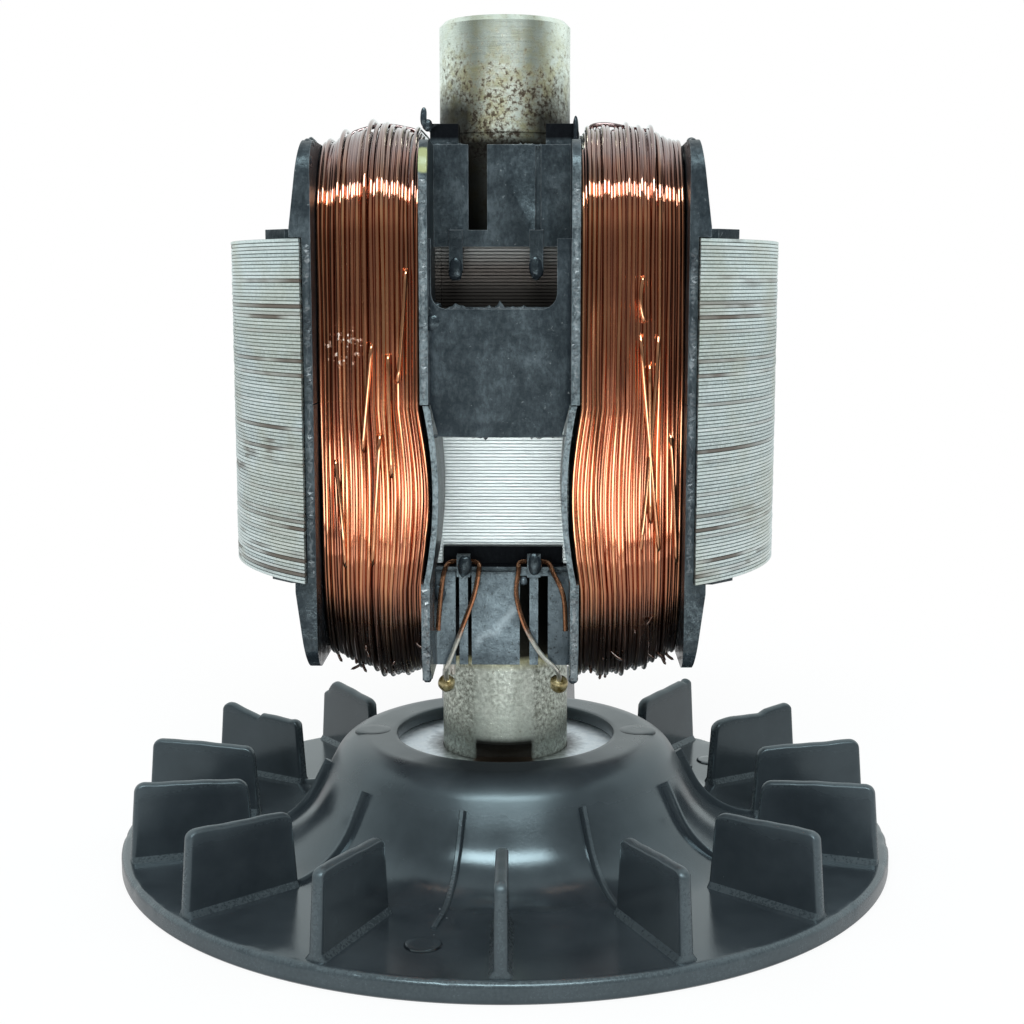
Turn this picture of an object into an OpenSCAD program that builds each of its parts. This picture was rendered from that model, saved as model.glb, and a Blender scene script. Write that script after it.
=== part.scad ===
// Two-pole brushless generator rotor with its cooling fan.
// Millimetres. The origin is the bottom centre of the fan, Z runs up the shaft,
// X runs through the two poles and the front, with the coil leads, faces -Y.

/* [Shaft] */
// diameter of the ground shaft, the seat of the end bearing
shaft_d = 20; // [16:0.5:26]
// height of the shaft's upper end above the fan's foot
shaft_top = 129.5; // [118:0.5:150]
// height of the shaft's lower end above the fan's foot
shaft_foot = 5; // [2:0.5:10]
// chamfer at both ends of the shaft
shaft_chamfer = 0.8; // [0.2:0.1:2]
// length of the bearing seat at the upper end, chamfer included
seat_l = 16.9; // [15:0.1:17]
// width of the grinding relief below the bearing seat
relief_w = 0.5; // [0.3:0.1:1]
// depth of the grinding relief
relief_depth = 0.2; // [0.1:0.05:0.4]
// hole for the long bolt that pulls the rotor on to the engine
bolt_hole_d = 9; // [6:0.5:10]
// wide end of the tapered socket for the engine's crankshaft
taper_d = 12; // [10:0.5:14]
// length of the tapered socket
taper_l = 30; // [15:1:45]
// width of the drive slots in the shaft
drive_slot_w = 8.8; // [6:0.2:10]
// depth of the drive slots
drive_slot_depth = 2; // [1:0.1:2.5]
// height of the drive slots above the hub plate
drive_slot_rise = 2.5; // [1:0.1:4]

/* [Core] */
// outside diameter of the pole faces
core_d = 84; // [76:0.5:92]
// height of the lowest sheet above the fan's foot
core_foot = 48.5; // [46:0.5:54]
// thickness of one sheet
sheet_t = 0.5; // [0.35:0.05:1]
// number of sheets in the stack
sheet_count = 96; // [80:2:110]
// sheets between two lines that show on the faces
sheets_per_line = 2; // [1:1:8]
// width of the line between two sheets
line_w = 0.12; // [0.05:0.01:0.2]
// depth of the line between two sheets
line_depth = 0.12; // [0.05:0.01:0.3]
// width of the pole necks that the coils are wound on
neck_w = 29; // [24:0.5:31]
// width of the hub between the inner flanges
hub_w = 18.2; // [14:0.2:19]
// length of the hub from front to back
hub_l = 26.4; // [24:0.2:29]
// distance of the pole shoes' inner faces from the axis
shoe_at = 27.4; // [27:0.2:30]

/* [Insulators] */
// height at which the two insulators meet
split_at = 73.6; // [68:0.2:78]
// distance of the inner flanges from the axis
inner_flange_at = 9.9; // [9.4:0.1:10.6]
// thickness of the inner flanges
inner_flange_t = 1.2; // [0.8:0.1:1.8]
// length of the inner flanges from the middle to their front edges
inner_flange_l = 31; // [29:0.2:32]
// how far the coil has pushed the lower inner flanges inward
flange_bow = 1.3; // [0.6:0.1:1.8]
// thickness of the lower inner flanges where they are bowed
bowed_flange_t = 0.8; // [0.6:0.1:1.2]
// distance of the outer flanges from the axis
outer_flange_at = 26; // [24:0.2:27]
// length of the outer flanges from the middle to their front edges
outer_flange_l = 30.2; // [28:0.2:30.2]
// thickness of the outer flanges at their free ends
ear_t = 1.5; // [1:0.1:2.4]
// thickness of the outer flanges where they stand on the ends of the stack
ear_foot_t = 3; // [2.4:0.1:4]
// height of the flanges beyond the upper end of the stack
upper_reach = 13.6; // [11:0.2:16]
// height of the flanges beyond the lower end of the stack
lower_reach = 14.9; // [11:0.2:16]
// height of the outer flanges beyond the lower end of the stack
lower_ear_reach = 13.2; // [11:0.2:14.8]
// rounding of the flanges' corners
flange_corner = 5; // [2:0.5:8]
// wall between a pole neck and its coil
bobbin_wall = 1.2; // [0.8:0.1:2]
// thickness of the bobbin over the ends of the stack
bobbin_seat = 3; // [2:0.2:5]
// thickness of the end plates on the pole shoes and the hub
end_plate_t = 1.5; // [1:0.1:2.4]
// reach of the end plates over the pole shoes
end_plate_reach = 6.6; // [5:0.2:8]
// length of the end plates from the middle to their front edges
end_plate_l = 23; // [18:0.5:25]
// distance of the tower panels' outer faces from the axis
panel_at = 17.6; // [17:0.2:19]
// thickness of the tower panels
panel_t = 1.4; // [1:0.1:2]
// width of the slots through the upper tower panels
tower_slot_w = 2.7; // [1.5:0.1:3.5]
// place of the slots
tower_slot_x = -3.5; // [-4:0.1:-3]
// depth of the grooves in the upper tower panels
groove_depth = 0.7; // [0.3:0.1:0.9]
// width of the grooves
groove_w = 0.8; // [0.5:0.1:1.5]
// place of the grooves
groove_x = 5.2; // [4.5:0.1:6]
// width of the posts in the corners of the upper tower
post_w = 3.6; // [2:0.1:4]
// length of the posts from front to back
post_l = 4.6; // [2:0.1:5]
// how far the posts rise above the flanges
post_rise = 3; // [1:0.1:4]
// width of the left slot in the lower tower panels
left_slot_w = 2.4; // [2:0.1:3]
// width of the right slot
right_slot_w = 4.2; // [3:0.1:4.4]
// place of the left slot
left_slot_x = -5.8; // [-6.4:0.1:-5.2]
// place of the right slot
right_slot_x = 4.7; // [4.2:0.1:5.4]
// width of the snap tongues
tongue_w = 1.3; // [0.8:0.1:1.6]
// width of the hooks on the tongues
hook_w = 2; // [1.4:0.1:2.4]
// height of the upper hooks beyond the end of the stack
upper_hook_h = 4.4; // [3:0.1:5]
// height of the lower hooks beyond the end of the stack
lower_hook_h = 1.8; // [1.2:0.1:2.6]
// how far the hooks stand proud of the tower panels
hook_proud = 0.3; // [0.1:0.1:0.6]
// place of the left hook on the upper tower panels
upper_left_hook_x = -6.7; // [-7.4:0.1:-6]
// place of the right hook on the upper tower panels
upper_right_hook_x = 5; // [4.4:0.1:5.6]
// how far the upper tower panels hang below the end of the stack
panel_drop = 0.9; // [0.3:0.1:1.5]
// height of the lower lip over the lowest sheets
lip_h = 2.6; // [1.5:0.1:3.2]
// thickness of the lower lip
lip_t = 1.1; // [0.8:0.1:1.3]
// radius of the curved band between the upper inner flanges
band_r = 36; // [30:1:60]
// thickness of the band
band_t = 1.4; // [1:0.1:2]
// height of the band's lower edge
band_foot = 69.2; // [66:0.2:72]
// depth of the window in the band below the end of the stack
window_depth = 9.6; // [6:0.2:14]
// width of the window
window_w = 17.4; // [12:0.2:18]
// sideways shift of the window
window_x = -0.8; // [-0.9:0.1:0.5]
// rounding of the window's corners
window_corner = 2.2; // [1:0.1:3]
// clearance between the insulators and the core
core_gap = 0.15; // [0.05:0.05:0.3]
// clearance between the insulators and the shaft
shaft_gap = 0.4; // [0.2:0.1:0.8]

/* [Coils] */
// diameter of the enamelled wire
wire_d = 0.73; // [0.6:0.01:0.9]
// depth of the winding at its thickest
winding_build = 12.8; // [9:0.1:13.5]
// fall of the winding toward the outer flange
winding_fall = 3; // [0:0.1:4]
// place of the thickest turn, as a part of the winding's width
winding_peak = 0.24; // [0:0.02:0.5]
// radius of the innermost turn at the bobbin's corners
winding_corner = 2.5; // [2:0.1:4]
// clearance between the winding and the bobbin
winding_gap = 0.1; // [0.05:0.05:0.4]
// how much higher the loose outer turns stand over the upper end
winding_rise = 0.8; // [0:0.1:2]
// how much lower the loose outer turns hang under the lower end
winding_sag = 1.6; // [0:0.1:2.4]

/* [Leads] */
// clearance of a lead from the panel that it runs over
lead_gap = 0.1; // [0.05:0.05:0.3]
// slope of a lead where it meets its solder bead
lead_slope = 41; // [30:1:50]
// diameter of the solder beads
solder_d = 2.6; // [1.6:0.1:3]
// place of the solder beads to either side of the axis
solder_x = 8.5; // [8:0.1:9]
// place of the solder beads in front of and behind the axis
solder_y = 15; // [14.4:0.1:16]
// height of the solder beads
solder_z = 30; // [29.5:0.1:30.4]
// diameter of a diode's body
diode_d = 3.4; // [2.6:0.1:3.6]
// length of a diode's body
diode_l = 7; // [5:0.1:8]
// diameter of a diode's wires
diode_wire_d = 0.9; // [0.7:0.05:1.1]
// place of the diodes to either side of the axis
diode_x = 7.7; // [7.2:0.1:7.9]
// place of the diodes in front of and behind the axis
diode_y = 13.8; // [13.6:0.1:14.2]
// height of the diodes' bodies above their solder beads
diode_rise = 4.4; // [2:0.1:6]

/* [Fan] */
// diameter of the disc
fan_d = 122.4; // [116:0.2:130]
// height of the disc's upper face
disc_t = 3; // [2.4:0.1:4]
// rounding of the disc's upper edge
rim_round = 0.9; // [0.3:0.1:1.2]
// width of the band under the rim that the rotor stands on
rim_band = 4; // [2.5:0.1:6]
// wall of the bell and of the disc
fan_wall = 2.5; // [1.8:0.1:2.8]
// height of the hub's upper face
hub_h = 18.5; // [17:0.1:21]
// diameter of the hole in the hub
hub_hole_d = 35; // [31:0.2:38]
// width of the flat ring round the hole
hub_ring = 4.5; // [3:0.1:5]
// radius of the hub's shoulder
shoulder_r = 6; // [4:0.5:8]
// slope of the bell
bell_slope = 62; // [56:1:66]
// radius of the hollow where the bell runs into the disc
hollow_r = 8.5; // [6:0.5:10]
// number of blades
blade_count = 15; // [9:1:21]
// thickness of a blade
blade_t = 1.9; // [1.4:0.1:2.6]
// inner edge of the blades from the axis
blade_inner = 41; // [39:0.5:44]
// outer edge of the blades from the axis
blade_outer = 60; // [55:0.5:60.2]
// height of a blade's outer end above the disc
blade_h = 12.4; // [8:0.2:16]
// fall of a blade's upper edge toward the axis
blade_fall = 1; // [0:0.1:3]
// rounding of a blade's upper corners
blade_corner = 1.6; // [0.5:0.1:3]
// how far a blade's two ends lean in from its foot to its top
blade_draft = 1; // [0:0.1:2]
// width of the bead at a blade's foot
bead_w = 3.2; // [2.8:0.1:5]
// height of the bead at a blade's foot
bead_h = 0.8; // [0.5:0.1:1.6]
// turn of the fan against the poles
fan_turn = 0.8; // [-12:0.1:12]
// number of ribs on the bell
rib_count = 10; // [5:1:15]
// thickness of the ribs
rib_t = 0.8; // [0.5:0.1:1.4]
// height of the ribs over the bell
rib_h = 1.1; // [0.5:0.1:1.4]
// inner end of the ribs from the axis
rib_start = 28; // [27.6:0.1:30]
// outer end of the ribs from the axis
rib_end = 45; // [42:0.5:50]
// diameter of the ejector marks on the disc
ejector_d = 5.2; // [4:0.1:7]
// height of the ejector marks on the disc
ejector_h = 0.25; // [0.1:0.05:0.5]
// diameter of the ejector marks on the hub
hub_ejector_d = 6; // [4:0.1:6.4]
// place of the ejector marks on the hub from the edge of its flat ring
hub_ejector_shift = -0.6; // [-1:0.1:1]
// height of the ejector marks on the hub
hub_ejector_h = 0.05; // [0.05:0.05:0.3]
// diameter of the steel plate in the hub
plate_d = 43; // [39:0.5:44]
// thickness of the steel plate
plate_t = 2; // [1.5:0.1:2.5]
// depth of the steel plate below the hub's upper face
plate_depth = 2.1; // [1.5:0.1:3]
// plastic round the edge of the steel plate
plate_wall = 2; // [1.2:0.1:2.4]
// clearance of pressed and moulded-in pieces
press_gap = 0.08; // [0.05:0.01:0.2]

/* [Hidden] */
$fn = 96;
cut = 1;

shaft_r = shaft_d / 2;
core_r = core_d / 2;
core_h = sheet_t * sheet_count;
core_top = core_foot + core_h;
line_pitch = sheet_t * sheets_per_line;
line_count = floor(sheet_count / sheets_per_line);
neck_half = neck_w / 2;

opening_half = neck_half + core_gap;
channel_half = opening_half + bobbin_wall;
inner_flange_out = inner_flange_at + inner_flange_t;
outer_flange_out = shoe_at - core_gap;
shaft_clear_r = shaft_r + shaft_gap;
upper_depth = core_top - split_at - core_gap / 2;
lower_depth = split_at - core_foot - core_gap / 2;
panel_back = panel_at - panel_t;
lip_at = hub_l / 2 + core_gap;

winding_in = inner_flange_out + winding_gap;
winding_out = outer_flange_at - winding_gap;
winding_w = winding_out - winding_in;
turns = floor(winding_w / wire_d);
turn_pitch = winding_w / turns;
winding_half = channel_half + winding_gap;
winding_seat = bobbin_seat + winding_gap;

fan_r = fan_d / 2;
plate_top = hub_h - plate_depth;
plate_foot = plate_top - plate_t;
hub_hole_r = hub_hole_d / 2;
shoulder_c = [hub_hole_r + hub_ring, hub_h - shoulder_r];
slope_run = [sin(bell_slope), cos(bell_slope)];
shoulder_end = shoulder_c + shoulder_r * slope_run;
hollow_z = disc_t + hollow_r;
hollow_start_z = hollow_z - hollow_r * slope_run[1];
slope_drop = shoulder_end[1] - hollow_start_z;
hollow_c = [shoulder_end[0] + slope_drop / tan(bell_slope) + hollow_r * slope_run[0], hollow_z];
blade_step = 360 / blade_count;
rib_step = 360 / rib_count;
blade_middle = (blade_inner + blade_outer) / 2;

steel = [0.72, 0.73, 0.70];
zinc = [0.80, 0.84, 0.88];
sheet_steel = [0.62, 0.63, 0.60];
moulding = [0.17, 0.20, 0.23];
copper = [0.62, 0.30, 0.17];
tin = [0.75, 0.70, 0.55];
black_plastic = [0.12, 0.13, 0.15];

// General helpers

module on_both_poles() {
    children();
    mirror([1, 0, 0]) children();
}

module front_and_back() {
    children();
    rotate(180) children();
}

// A flat outline drawn in Y and Z, given a thickness along X.
module along_x(from, to) {
    translate([from, 0, 0]) rotate([90, 0, 90]) linear_extrude(to - from) children();
}

// A flat outline drawn in X and Z, given a thickness along Y.
module along_y(from, to) {
    translate([0, to, 0]) rotate([90, 0, 0]) linear_extrude(to - from) children();
}

// A plate that stands from low to high, with its two upper corners rounded.
module arched_panel(half_w, low, high, corner) {
    translate([-half_w, low]) square([2 * half_w, high - low - corner]);
    translate([corner - half_w, low]) square([2 * (half_w - corner), high - low]);
    for (side = [-1, 1]) translate([side * (half_w - corner), high - corner]) circle(corner);
}

// Points of a smooth curve through a list of points, with a few steps in each span.
function curve_point(a, b, c, d, t) =
    0.5 * (2 * b + (c - a) * t + (2 * a - 5 * b + 4 * c - d) * t * t
    + (3 * b - a - 3 * c + d) * t * t * t);
function smooth_route(route, steps) = let (last = len(route) - 1) [
    for (i = [0 : last - 1]) for (k = [0 : steps - 1])
        curve_point(route[max(i - 1, 0)], route[i], route[i + 1], route[min(i + 2, last)], k / steps),
    route[last]];
function unit(v) = v / norm(v);

// A round wire along a route. The side vector is never parallel to the route.
module wire_run(route, d, side, steps = 4, sides = 8) {
    line = smooth_route(route, steps);
    last = len(line) - 1;
    rings = [for (i = [0 : last])
        let (ahead = unit(line[min(i + 1, last)] - line[max(i - 1, 0)]),
            u = unit(cross(ahead, side)), v = cross(ahead, u))
        for (k = [0 : sides - 1])
            line[i] + d / 2 * (cos(360 * k / sides) * u + sin(360 * k / sides) * v)];
    walls = [for (i = [0 : last - 1]) for (k = [0 : sides - 1])
        let (a = i * sides + k, b = i * sides + (k + 1) % sides) [a, b, b + sides, a + sides]];
    first_cap = [for (k = [sides - 1 : -1 : 0]) k];
    last_cap = [for (k = [0 : sides - 1]) last * sides + k];
    polyhedron(rings, concat([first_cap], walls, [last_cap]));
}

// Shaft: turned steel, bored for the engine's taper and the long bolt.

module drive_slots(clear) {
    slot_w_half = drive_slot_w / 2 - clear;
    slot_in = shaft_r - drive_slot_depth + clear;
    front_and_back()
        translate([-slot_w_half, -shaft_r - cut, 0])
            cube([2 * slot_w_half, shaft_r + cut - slot_in, plate_top + drive_slot_rise]);
}

module shaft() {
    flat_r = shaft_r - shaft_chamfer;
    bolt_r = bolt_hole_d / 2;
    relief_r = shaft_r - relief_depth;
    seat_foot = shaft_top - seat_l;
    color(steel) difference() {
        rotate_extrude() polygon([[0, shaft_foot], [flat_r, shaft_foot],
            [shaft_r, shaft_foot + shaft_chamfer], [shaft_r, seat_foot - relief_w],
            [relief_r, seat_foot - relief_w], [relief_r, seat_foot], [shaft_r, seat_foot],
            [shaft_r, shaft_top - shaft_chamfer], [flat_r, shaft_top], [0, shaft_top]]);
        rotate_extrude() polygon([[0, shaft_foot - cut], [taper_d / 2, shaft_foot - cut],
            [taper_d / 2, shaft_foot], [bolt_r, shaft_foot + taper_l], [bolt_r, shaft_top + cut],
            [0, shaft_top + cut]]);
        drive_slots(0);
    }
}

// Core: one sheet's outline, stacked, with the lines between the sheets.

module sheet_outline() {
    neck_l = shoe_at + cut - hub_w / 2;
    difference() {
        union() {
            square([2 * inner_flange_at, hub_l], center = true);
            for (side = [-1, 1]) translate([side * (hub_w / 2 + neck_l / 2), 0])
                square([neck_l, neck_w], center = true);
            intersection() {
                circle(core_r);
                for (side = [-1, 1]) translate([side * (shoe_at + core_r / 2), 0])
                    square([core_r, core_d], center = true);
            }
        }
        circle(shaft_r + press_gap);
    }
}

module sheet_lines() {
    for (i = [1 : line_count - 1]) translate([0, 0, i * line_pitch - line_w / 2]) {
        rotate_extrude() translate([core_r - line_depth, 0]) square([line_depth + cut, line_w]);
        front_and_back() translate([-hub_w / 2, -hub_l / 2 - cut, 0])
            cube([hub_w, cut + line_depth, line_w]);
    }
}

module core() {
    color(sheet_steel) translate([0, 0, core_foot]) difference() {
        linear_extrude(core_h) sheet_outline();
        sheet_lines();
    }
}

// Insulators: each half is drawn from its end of the stack outward.

module neck_opening(depth) {
    translate([-opening_half, -depth - cut]) square([2 * opening_half, depth + cut + core_gap]);
}

module bobbin(depth) {
    along_x(inner_flange_at, outer_flange_at + cut) difference() {
        arched_panel(channel_half, -depth, bobbin_seat, winding_corner);
        neck_opening(depth);
    }
}

// Thin beside the pole shoe, thick where it stands on the end of the stack.
module outer_flange(depth, reach) {
    foot_out = outer_flange_at + ear_foot_t;
    difference() {
        intersection() {
            along_y(-outer_flange_l, outer_flange_l) polygon([[outer_flange_at, -depth],
                [outer_flange_out, -depth], [outer_flange_out, core_gap], [foot_out, core_gap],
                [foot_out, end_plate_t], [outer_flange_at + ear_t, reach], [outer_flange_at, reach]]);
            along_x(outer_flange_at, foot_out)
                arched_panel(outer_flange_l, -depth, reach, flange_corner);
        }
        along_x(outer_flange_at - cut, outer_flange_out + cut) neck_opening(depth);
    }
}

module end_plate() {
    bevel = end_plate_reach / 2;
    near = outer_flange_at + ear_t;
    far = shoe_at + end_plate_reach;
    translate([0, 0, core_gap]) linear_extrude(end_plate_t - core_gap)
        polygon([[near, -end_plate_l], [far - bevel, -end_plate_l], [far, bevel - end_plate_l],
            [far, end_plate_l - bevel], [far - bevel, end_plate_l], [near, end_plate_l]]);
}

module hub_floor() {
    translate([-inner_flange_at - cut / 2, -panel_back - cut / 2, core_gap])
        cube([2 * inner_flange_at + cut, 2 * panel_back + cut, end_plate_t - core_gap]);
}

module straight_inner_flange(depth, reach) {
    along_x(inner_flange_at, inner_flange_out) difference() {
        arched_panel(inner_flange_l, -depth, reach, flange_corner);
        neck_opening(depth);
    }
}

// The free front of a lower flange is bent toward the axis between its two ends.
module bowed_inner_flange(depth, reach) {
    bow_r = (depth * depth / 4 + flange_bow * flange_bow) / (2 * flange_bow);
    bow_c = [inner_flange_at - flange_bow + bow_r, -depth / 2];
    along_x(inner_flange_at, inner_flange_out)
        arched_panel(inner_flange_l, core_gap, reach, flange_corner);
    along_x(inner_flange_at, inner_flange_out) difference() {
        translate([-channel_half, -depth]) square([2 * channel_half, depth + cut]);
        neck_opening(depth);
    }
    for (side = [-1, 1])
        along_y(min(side * inner_flange_l, side * (channel_half - cut)),
            max(side * inner_flange_l, side * (channel_half - cut))) intersection() {
            translate(bow_c) difference() {
                circle(bow_r);
                circle(bow_r - bowed_flange_t);
            }
            translate([0, -depth]) square([inner_flange_out, depth + 2 * core_gap]);
        }
}

// What both insulators have: bobbins, outer flanges and end plates.
module insulator_half(depth, ear_reach) {
    on_both_poles() {
        bobbin(depth);
        outer_flange(depth, ear_reach);
        end_plate();
    }
    hub_floor();
}

module shaft_passage() {
    translate([0, 0, -core_h]) cylinder(h = 2 * core_h, r = shaft_clear_r);
}

module hook(x, h) {
    translate([x - hook_w / 2, -panel_at - hook_proud, -h])
        cube([hook_w, panel_t + hook_proud, h + end_plate_t]);
}

module upper_tower_panel() {
    difference() {
        along_y(-panel_at, -panel_back) translate([-inner_flange_at - cut / 2, -panel_drop])
            square([2 * inner_flange_at + cut, upper_reach + panel_drop]);
        translate([tower_slot_x - tower_slot_w / 2, -panel_at - cut, end_plate_t])
            cube([tower_slot_w, panel_t + 2 * cut, upper_reach]);
        translate([groove_x - groove_w / 2, -panel_at - cut, -cut])
            cube([groove_w, cut + groove_depth, upper_reach + 2 * cut]);
    }
    hook(upper_left_hook_x, upper_hook_h);
    hook(upper_right_hook_x, upper_hook_h);
}

// Posts that join the tower panels to the inner flanges.
module tower_posts() {
    front_and_back() on_both_poles() translate([inner_flange_at - post_w, -panel_back - cut / 2, core_gap])
        cube([post_w + cut / 2, post_l + cut / 2, upper_reach + post_rise - core_gap]);
}

module band() {
    low = band_foot - core_top;
    split = -upper_depth;
    foot_half = inner_flange_at - flange_bow;
    intersection() {
        translate([0, band_r - inner_flange_l, low]) linear_extrude(-low) difference() {
            circle(band_r);
            circle(band_r - band_t);
        }
        along_y(-inner_flange_l - cut, -panel_at) difference() {
            polygon([[-foot_half, low], [foot_half, low], [inner_flange_at - core_gap, split],
                [inner_flange_out, split], [inner_flange_out, 0], [-inner_flange_out, 0],
                [-inner_flange_out, split], [core_gap - inner_flange_at, split]]);
            mirror([0, 1]) translate([window_x, 0])
                arched_panel(window_w / 2, -cut, window_depth, window_corner);
        }
    }
}

module upper_insulator() {
    color(moulding) translate([0, 0, core_top]) difference() {
        union() {
            insulator_half(upper_depth, upper_reach);
            on_both_poles() straight_inner_flange(upper_depth, upper_reach);
            tower_posts();
            front_and_back() {
                upper_tower_panel();
                band();
            }
        }
        shaft_passage();
    }
}

module lower_tower_panel() {
    difference() {
        along_y(-panel_at, -panel_back) translate([-inner_flange_at - cut / 2, end_plate_t / 2])
            square([2 * inner_flange_at + cut, lower_reach - end_plate_t / 2]);
        for (slot = [[left_slot_x, left_slot_w], [right_slot_x, right_slot_w]])
            translate([slot[0] - slot[1] / 2, -panel_at - cut, -cut])
                cube([slot[1], panel_t + 2 * cut, lower_reach + 2 * cut]);
    }
    for (x = [left_slot_x, right_slot_x]) {
        translate([x - tongue_w / 2, -panel_at, 0]) cube([tongue_w, panel_t, lower_reach]);
        hook(x, lower_hook_h);
    }
    // lip over the lowest sheets, which the panel and the tongues grow from
    translate([core_gap - hub_w / 2, -lip_at - lip_t, -lip_h])
        cube([hub_w - 2 * core_gap, lip_t, lip_h + end_plate_t]);
}

module lower_insulator() {
    color(moulding) translate([0, 0, core_foot]) mirror([0, 0, 1]) difference() {
        union() {
            insulator_half(lower_depth, lower_ear_reach);
            on_both_poles() bowed_inner_flange(lower_depth, lower_reach);
            front_and_back() lower_tower_panel();
        }
        shaft_passage();
    }
}

// Coils: one ridge for each turn of the outer layer, swept round the bobbin.

corner_steps = 6;
ridge_shape = [[0, 0], [0.2, 0.8], [0.5, 1], [0.8, 0.8]];
ridge_h = 0.36 * wire_d;

// Depth of the winding at a share of its width: fullest at the peak, falling to the outside.
function build_at(share) = winding_build - ridge_h
    - winding_fall * pow((share - winding_peak) / (1 - winding_peak), 2);
function winding_section() = [
    [winding_in, 0],
    for (turn = [0 : turns - 1]) for (p = ridge_shape)
        [winding_in + (turn + p[0]) * turn_pitch,
            build_at((turn + p[0]) / turns) + ridge_h * p[1]],
    [winding_out, build_at(1)],
    [winding_out, 0]];
// Corner centres of the innermost turn, the angle at which each corner starts and the outer turns' slack.
function winding_corners() = let (y = winding_half - winding_corner,
    high = core_top + winding_seat - winding_corner,
    low = core_foot - winding_seat + winding_corner)
    [[y, high, 0, winding_rise], [-y, high, 90, winding_rise],
    [-y, low, 180, -winding_sag], [y, low, 270, -winding_sag]];

module coil() {
    section = winding_section();
    count = len(section);
    stations = [for (c = winding_corners()) for (k = [0 : corner_steps])
        [c[0], c[1], c[2] + 90 * k / corner_steps, c[3]]];
    total = len(stations);
    points = [for (s = stations) for (p = section) let (r = winding_corner + p[1])
        [p[0], s[0] + r * cos(s[2]), s[1] + r * sin(s[2]) + s[3] * p[1] / winding_build]];
    walls = [for (i = [0 : total - 1]) for (k = [0 : count - 1])
        let (a = i * count, b = ((i + 1) % total) * count, n = (k + 1) % count)
        [a + k, b + k, b + n, a + n]];
    polyhedron(points, walls);
}

module right_coil() {
    color(copper) coil();
}

module left_coil() {
    color(copper) rotate(180) coil();
}

// Leads: each wire leaves the inner flange, passes behind a hook and ends at its solder bead.

lead_y = -panel_at - hook_proud - lead_gap - wire_d / 2;
lead_behind_y = -(panel_back + lip_at + lip_t) / 2;
lead_over_z = core_foot - core_gap + 2 * lead_gap + wire_d / 2;
lead_fall = [0.04, 0.28, 0.58, 0.86, 1.02];

// Height at a share of the way down the lower tower panel.
function panel_z(share) = core_foot - share * lower_reach;
// Points of a front lead; the places are where it runs down the panel, at the shares of lead_fall.
function lead_route(side, hook_x, places) = let (
    flange_x = side * (inner_flange_at - lead_gap - wire_d / 2),
    beside = hook_w / 2 + 1.5 * wire_d,
    bead = [side * solder_x, -solder_y, solder_z],
    bead_way = [0, -cos(lead_slope), sin(lead_slope)]) [
    [flange_x, -0.68 * inner_flange_l, panel_z(0.6)],
    [flange_x - side * wire_d / 2, -0.64 * inner_flange_l, panel_z(0.26)],
    [hook_x + side * (beside + wire_d), lead_y, panel_z(0.04)],
    [hook_x + side * beside, -panel_back, lead_over_z],
    [hook_x, lead_behind_y, lead_over_z],
    [hook_x - side * beside, -panel_back, lead_over_z],
    for (i = [0 : len(places) - 1]) [places[i], lead_y, panel_z(lead_fall[i])],
    bead + (solder_d + wire_d / 2) * bead_way,
    bead + (solder_d / 2 + lead_gap / 2) * bead_way];
left_route = lead_route(-1, left_slot_x, [-3.5, -4.2, -5.8, -7.4, -8.3]);
right_route = lead_route(1, right_slot_x, [2.4, 2.1, 3.3, 5.6, 7.9]);

module left_front_lead() {
    color(copper) wire_run(left_route, wire_d, [0, 1, 0]);
}

module right_front_lead() {
    color(copper) wire_run(right_route, wire_d, [0, 1, 0]);
}

module left_rear_lead() {
    rotate(180) right_front_lead();
}

module right_rear_lead() {
    rotate(180) left_front_lead();
}

module solder_bead(side, end) {
    color(tin) translate([side * solder_x, end * solder_y, solder_z]) sphere(d = solder_d);
}

module left_front_solder() {
    solder_bead(-1, -1);
}

module right_front_solder() {
    solder_bead(1, -1);
}

module left_rear_solder() {
    solder_bead(-1, 1);
}

module right_rear_solder() {
    solder_bead(1, 1);
}

// Diodes: each stands in a corner of the lower tower, over the solder bead of its own coil.

module diode() {
    wire_foot = solder_z + solder_d / 2 - lead_gap;
    wire_top = core_foot - end_plate_t - lead_gap;
    translate([-diode_x, -diode_y, 0]) {
        color(tin) translate([0, 0, wire_foot]) cylinder(h = wire_top - wire_foot, d = diode_wire_d);
        color(black_plastic) translate([0, 0, solder_z + diode_rise]) cylinder(h = diode_l, d = diode_d);
    }
}

module left_diode() {
    diode();
}

module right_diode() {
    rotate(180) diode();
}

// Fan: a bell on a disc, with blades, ribs and the pocket of the hub plate.

// Everything below the bell's outer surface, or below that surface sunk by some depth.
module under_bell(depth) {
    slope_top = shoulder_c + (shoulder_r - depth) * slope_run;
    slope_foot = hollow_c - (hollow_r + depth) * slope_run;
    difference() {
        union() {
            polygon([[0, -cut], [0, hub_h - depth], [shoulder_c[0], hub_h - depth], slope_top,
                slope_foot, [hollow_c[0], disc_t - depth], [hollow_c[0], -cut]]);
            translate(shoulder_c) circle(shoulder_r - depth);
        }
        translate(hollow_c) circle(hollow_r + depth);
    }
}

module disc_section() {
    edge_r = fan_r - rim_round;
    translate([hollow_c[0] - cut, disc_t - fan_wall]) square([edge_r - hollow_c[0] + cut, fan_wall]);
    translate([fan_r - rim_band, 0]) square([rim_band, disc_t - rim_round]);
    translate([edge_r, disc_t - rim_round]) circle(rim_round);
}

module hub_section() {
    seat_r = plate_d / 2 + plate_wall;
    intersection() {
        under_bell(0);
        translate([0, plate_foot - fan_wall]) square([seat_r, hub_h]);
    }
}

module fan_section() {
    difference() {
        union() {
            difference() {
                under_bell(0);
                under_bell(fan_wall);
            }
            disc_section();
            hub_section();
        }
        translate([0, plate_foot - press_gap]) square([plate_d / 2 + press_gap, plate_t + 2 * press_gap]);
        translate([0, -cut]) square([hub_hole_r, hub_h + 2 * cut]);
        translate([0, -2 * cut]) square([fan_r, 2 * cut]);
    }
}

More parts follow.
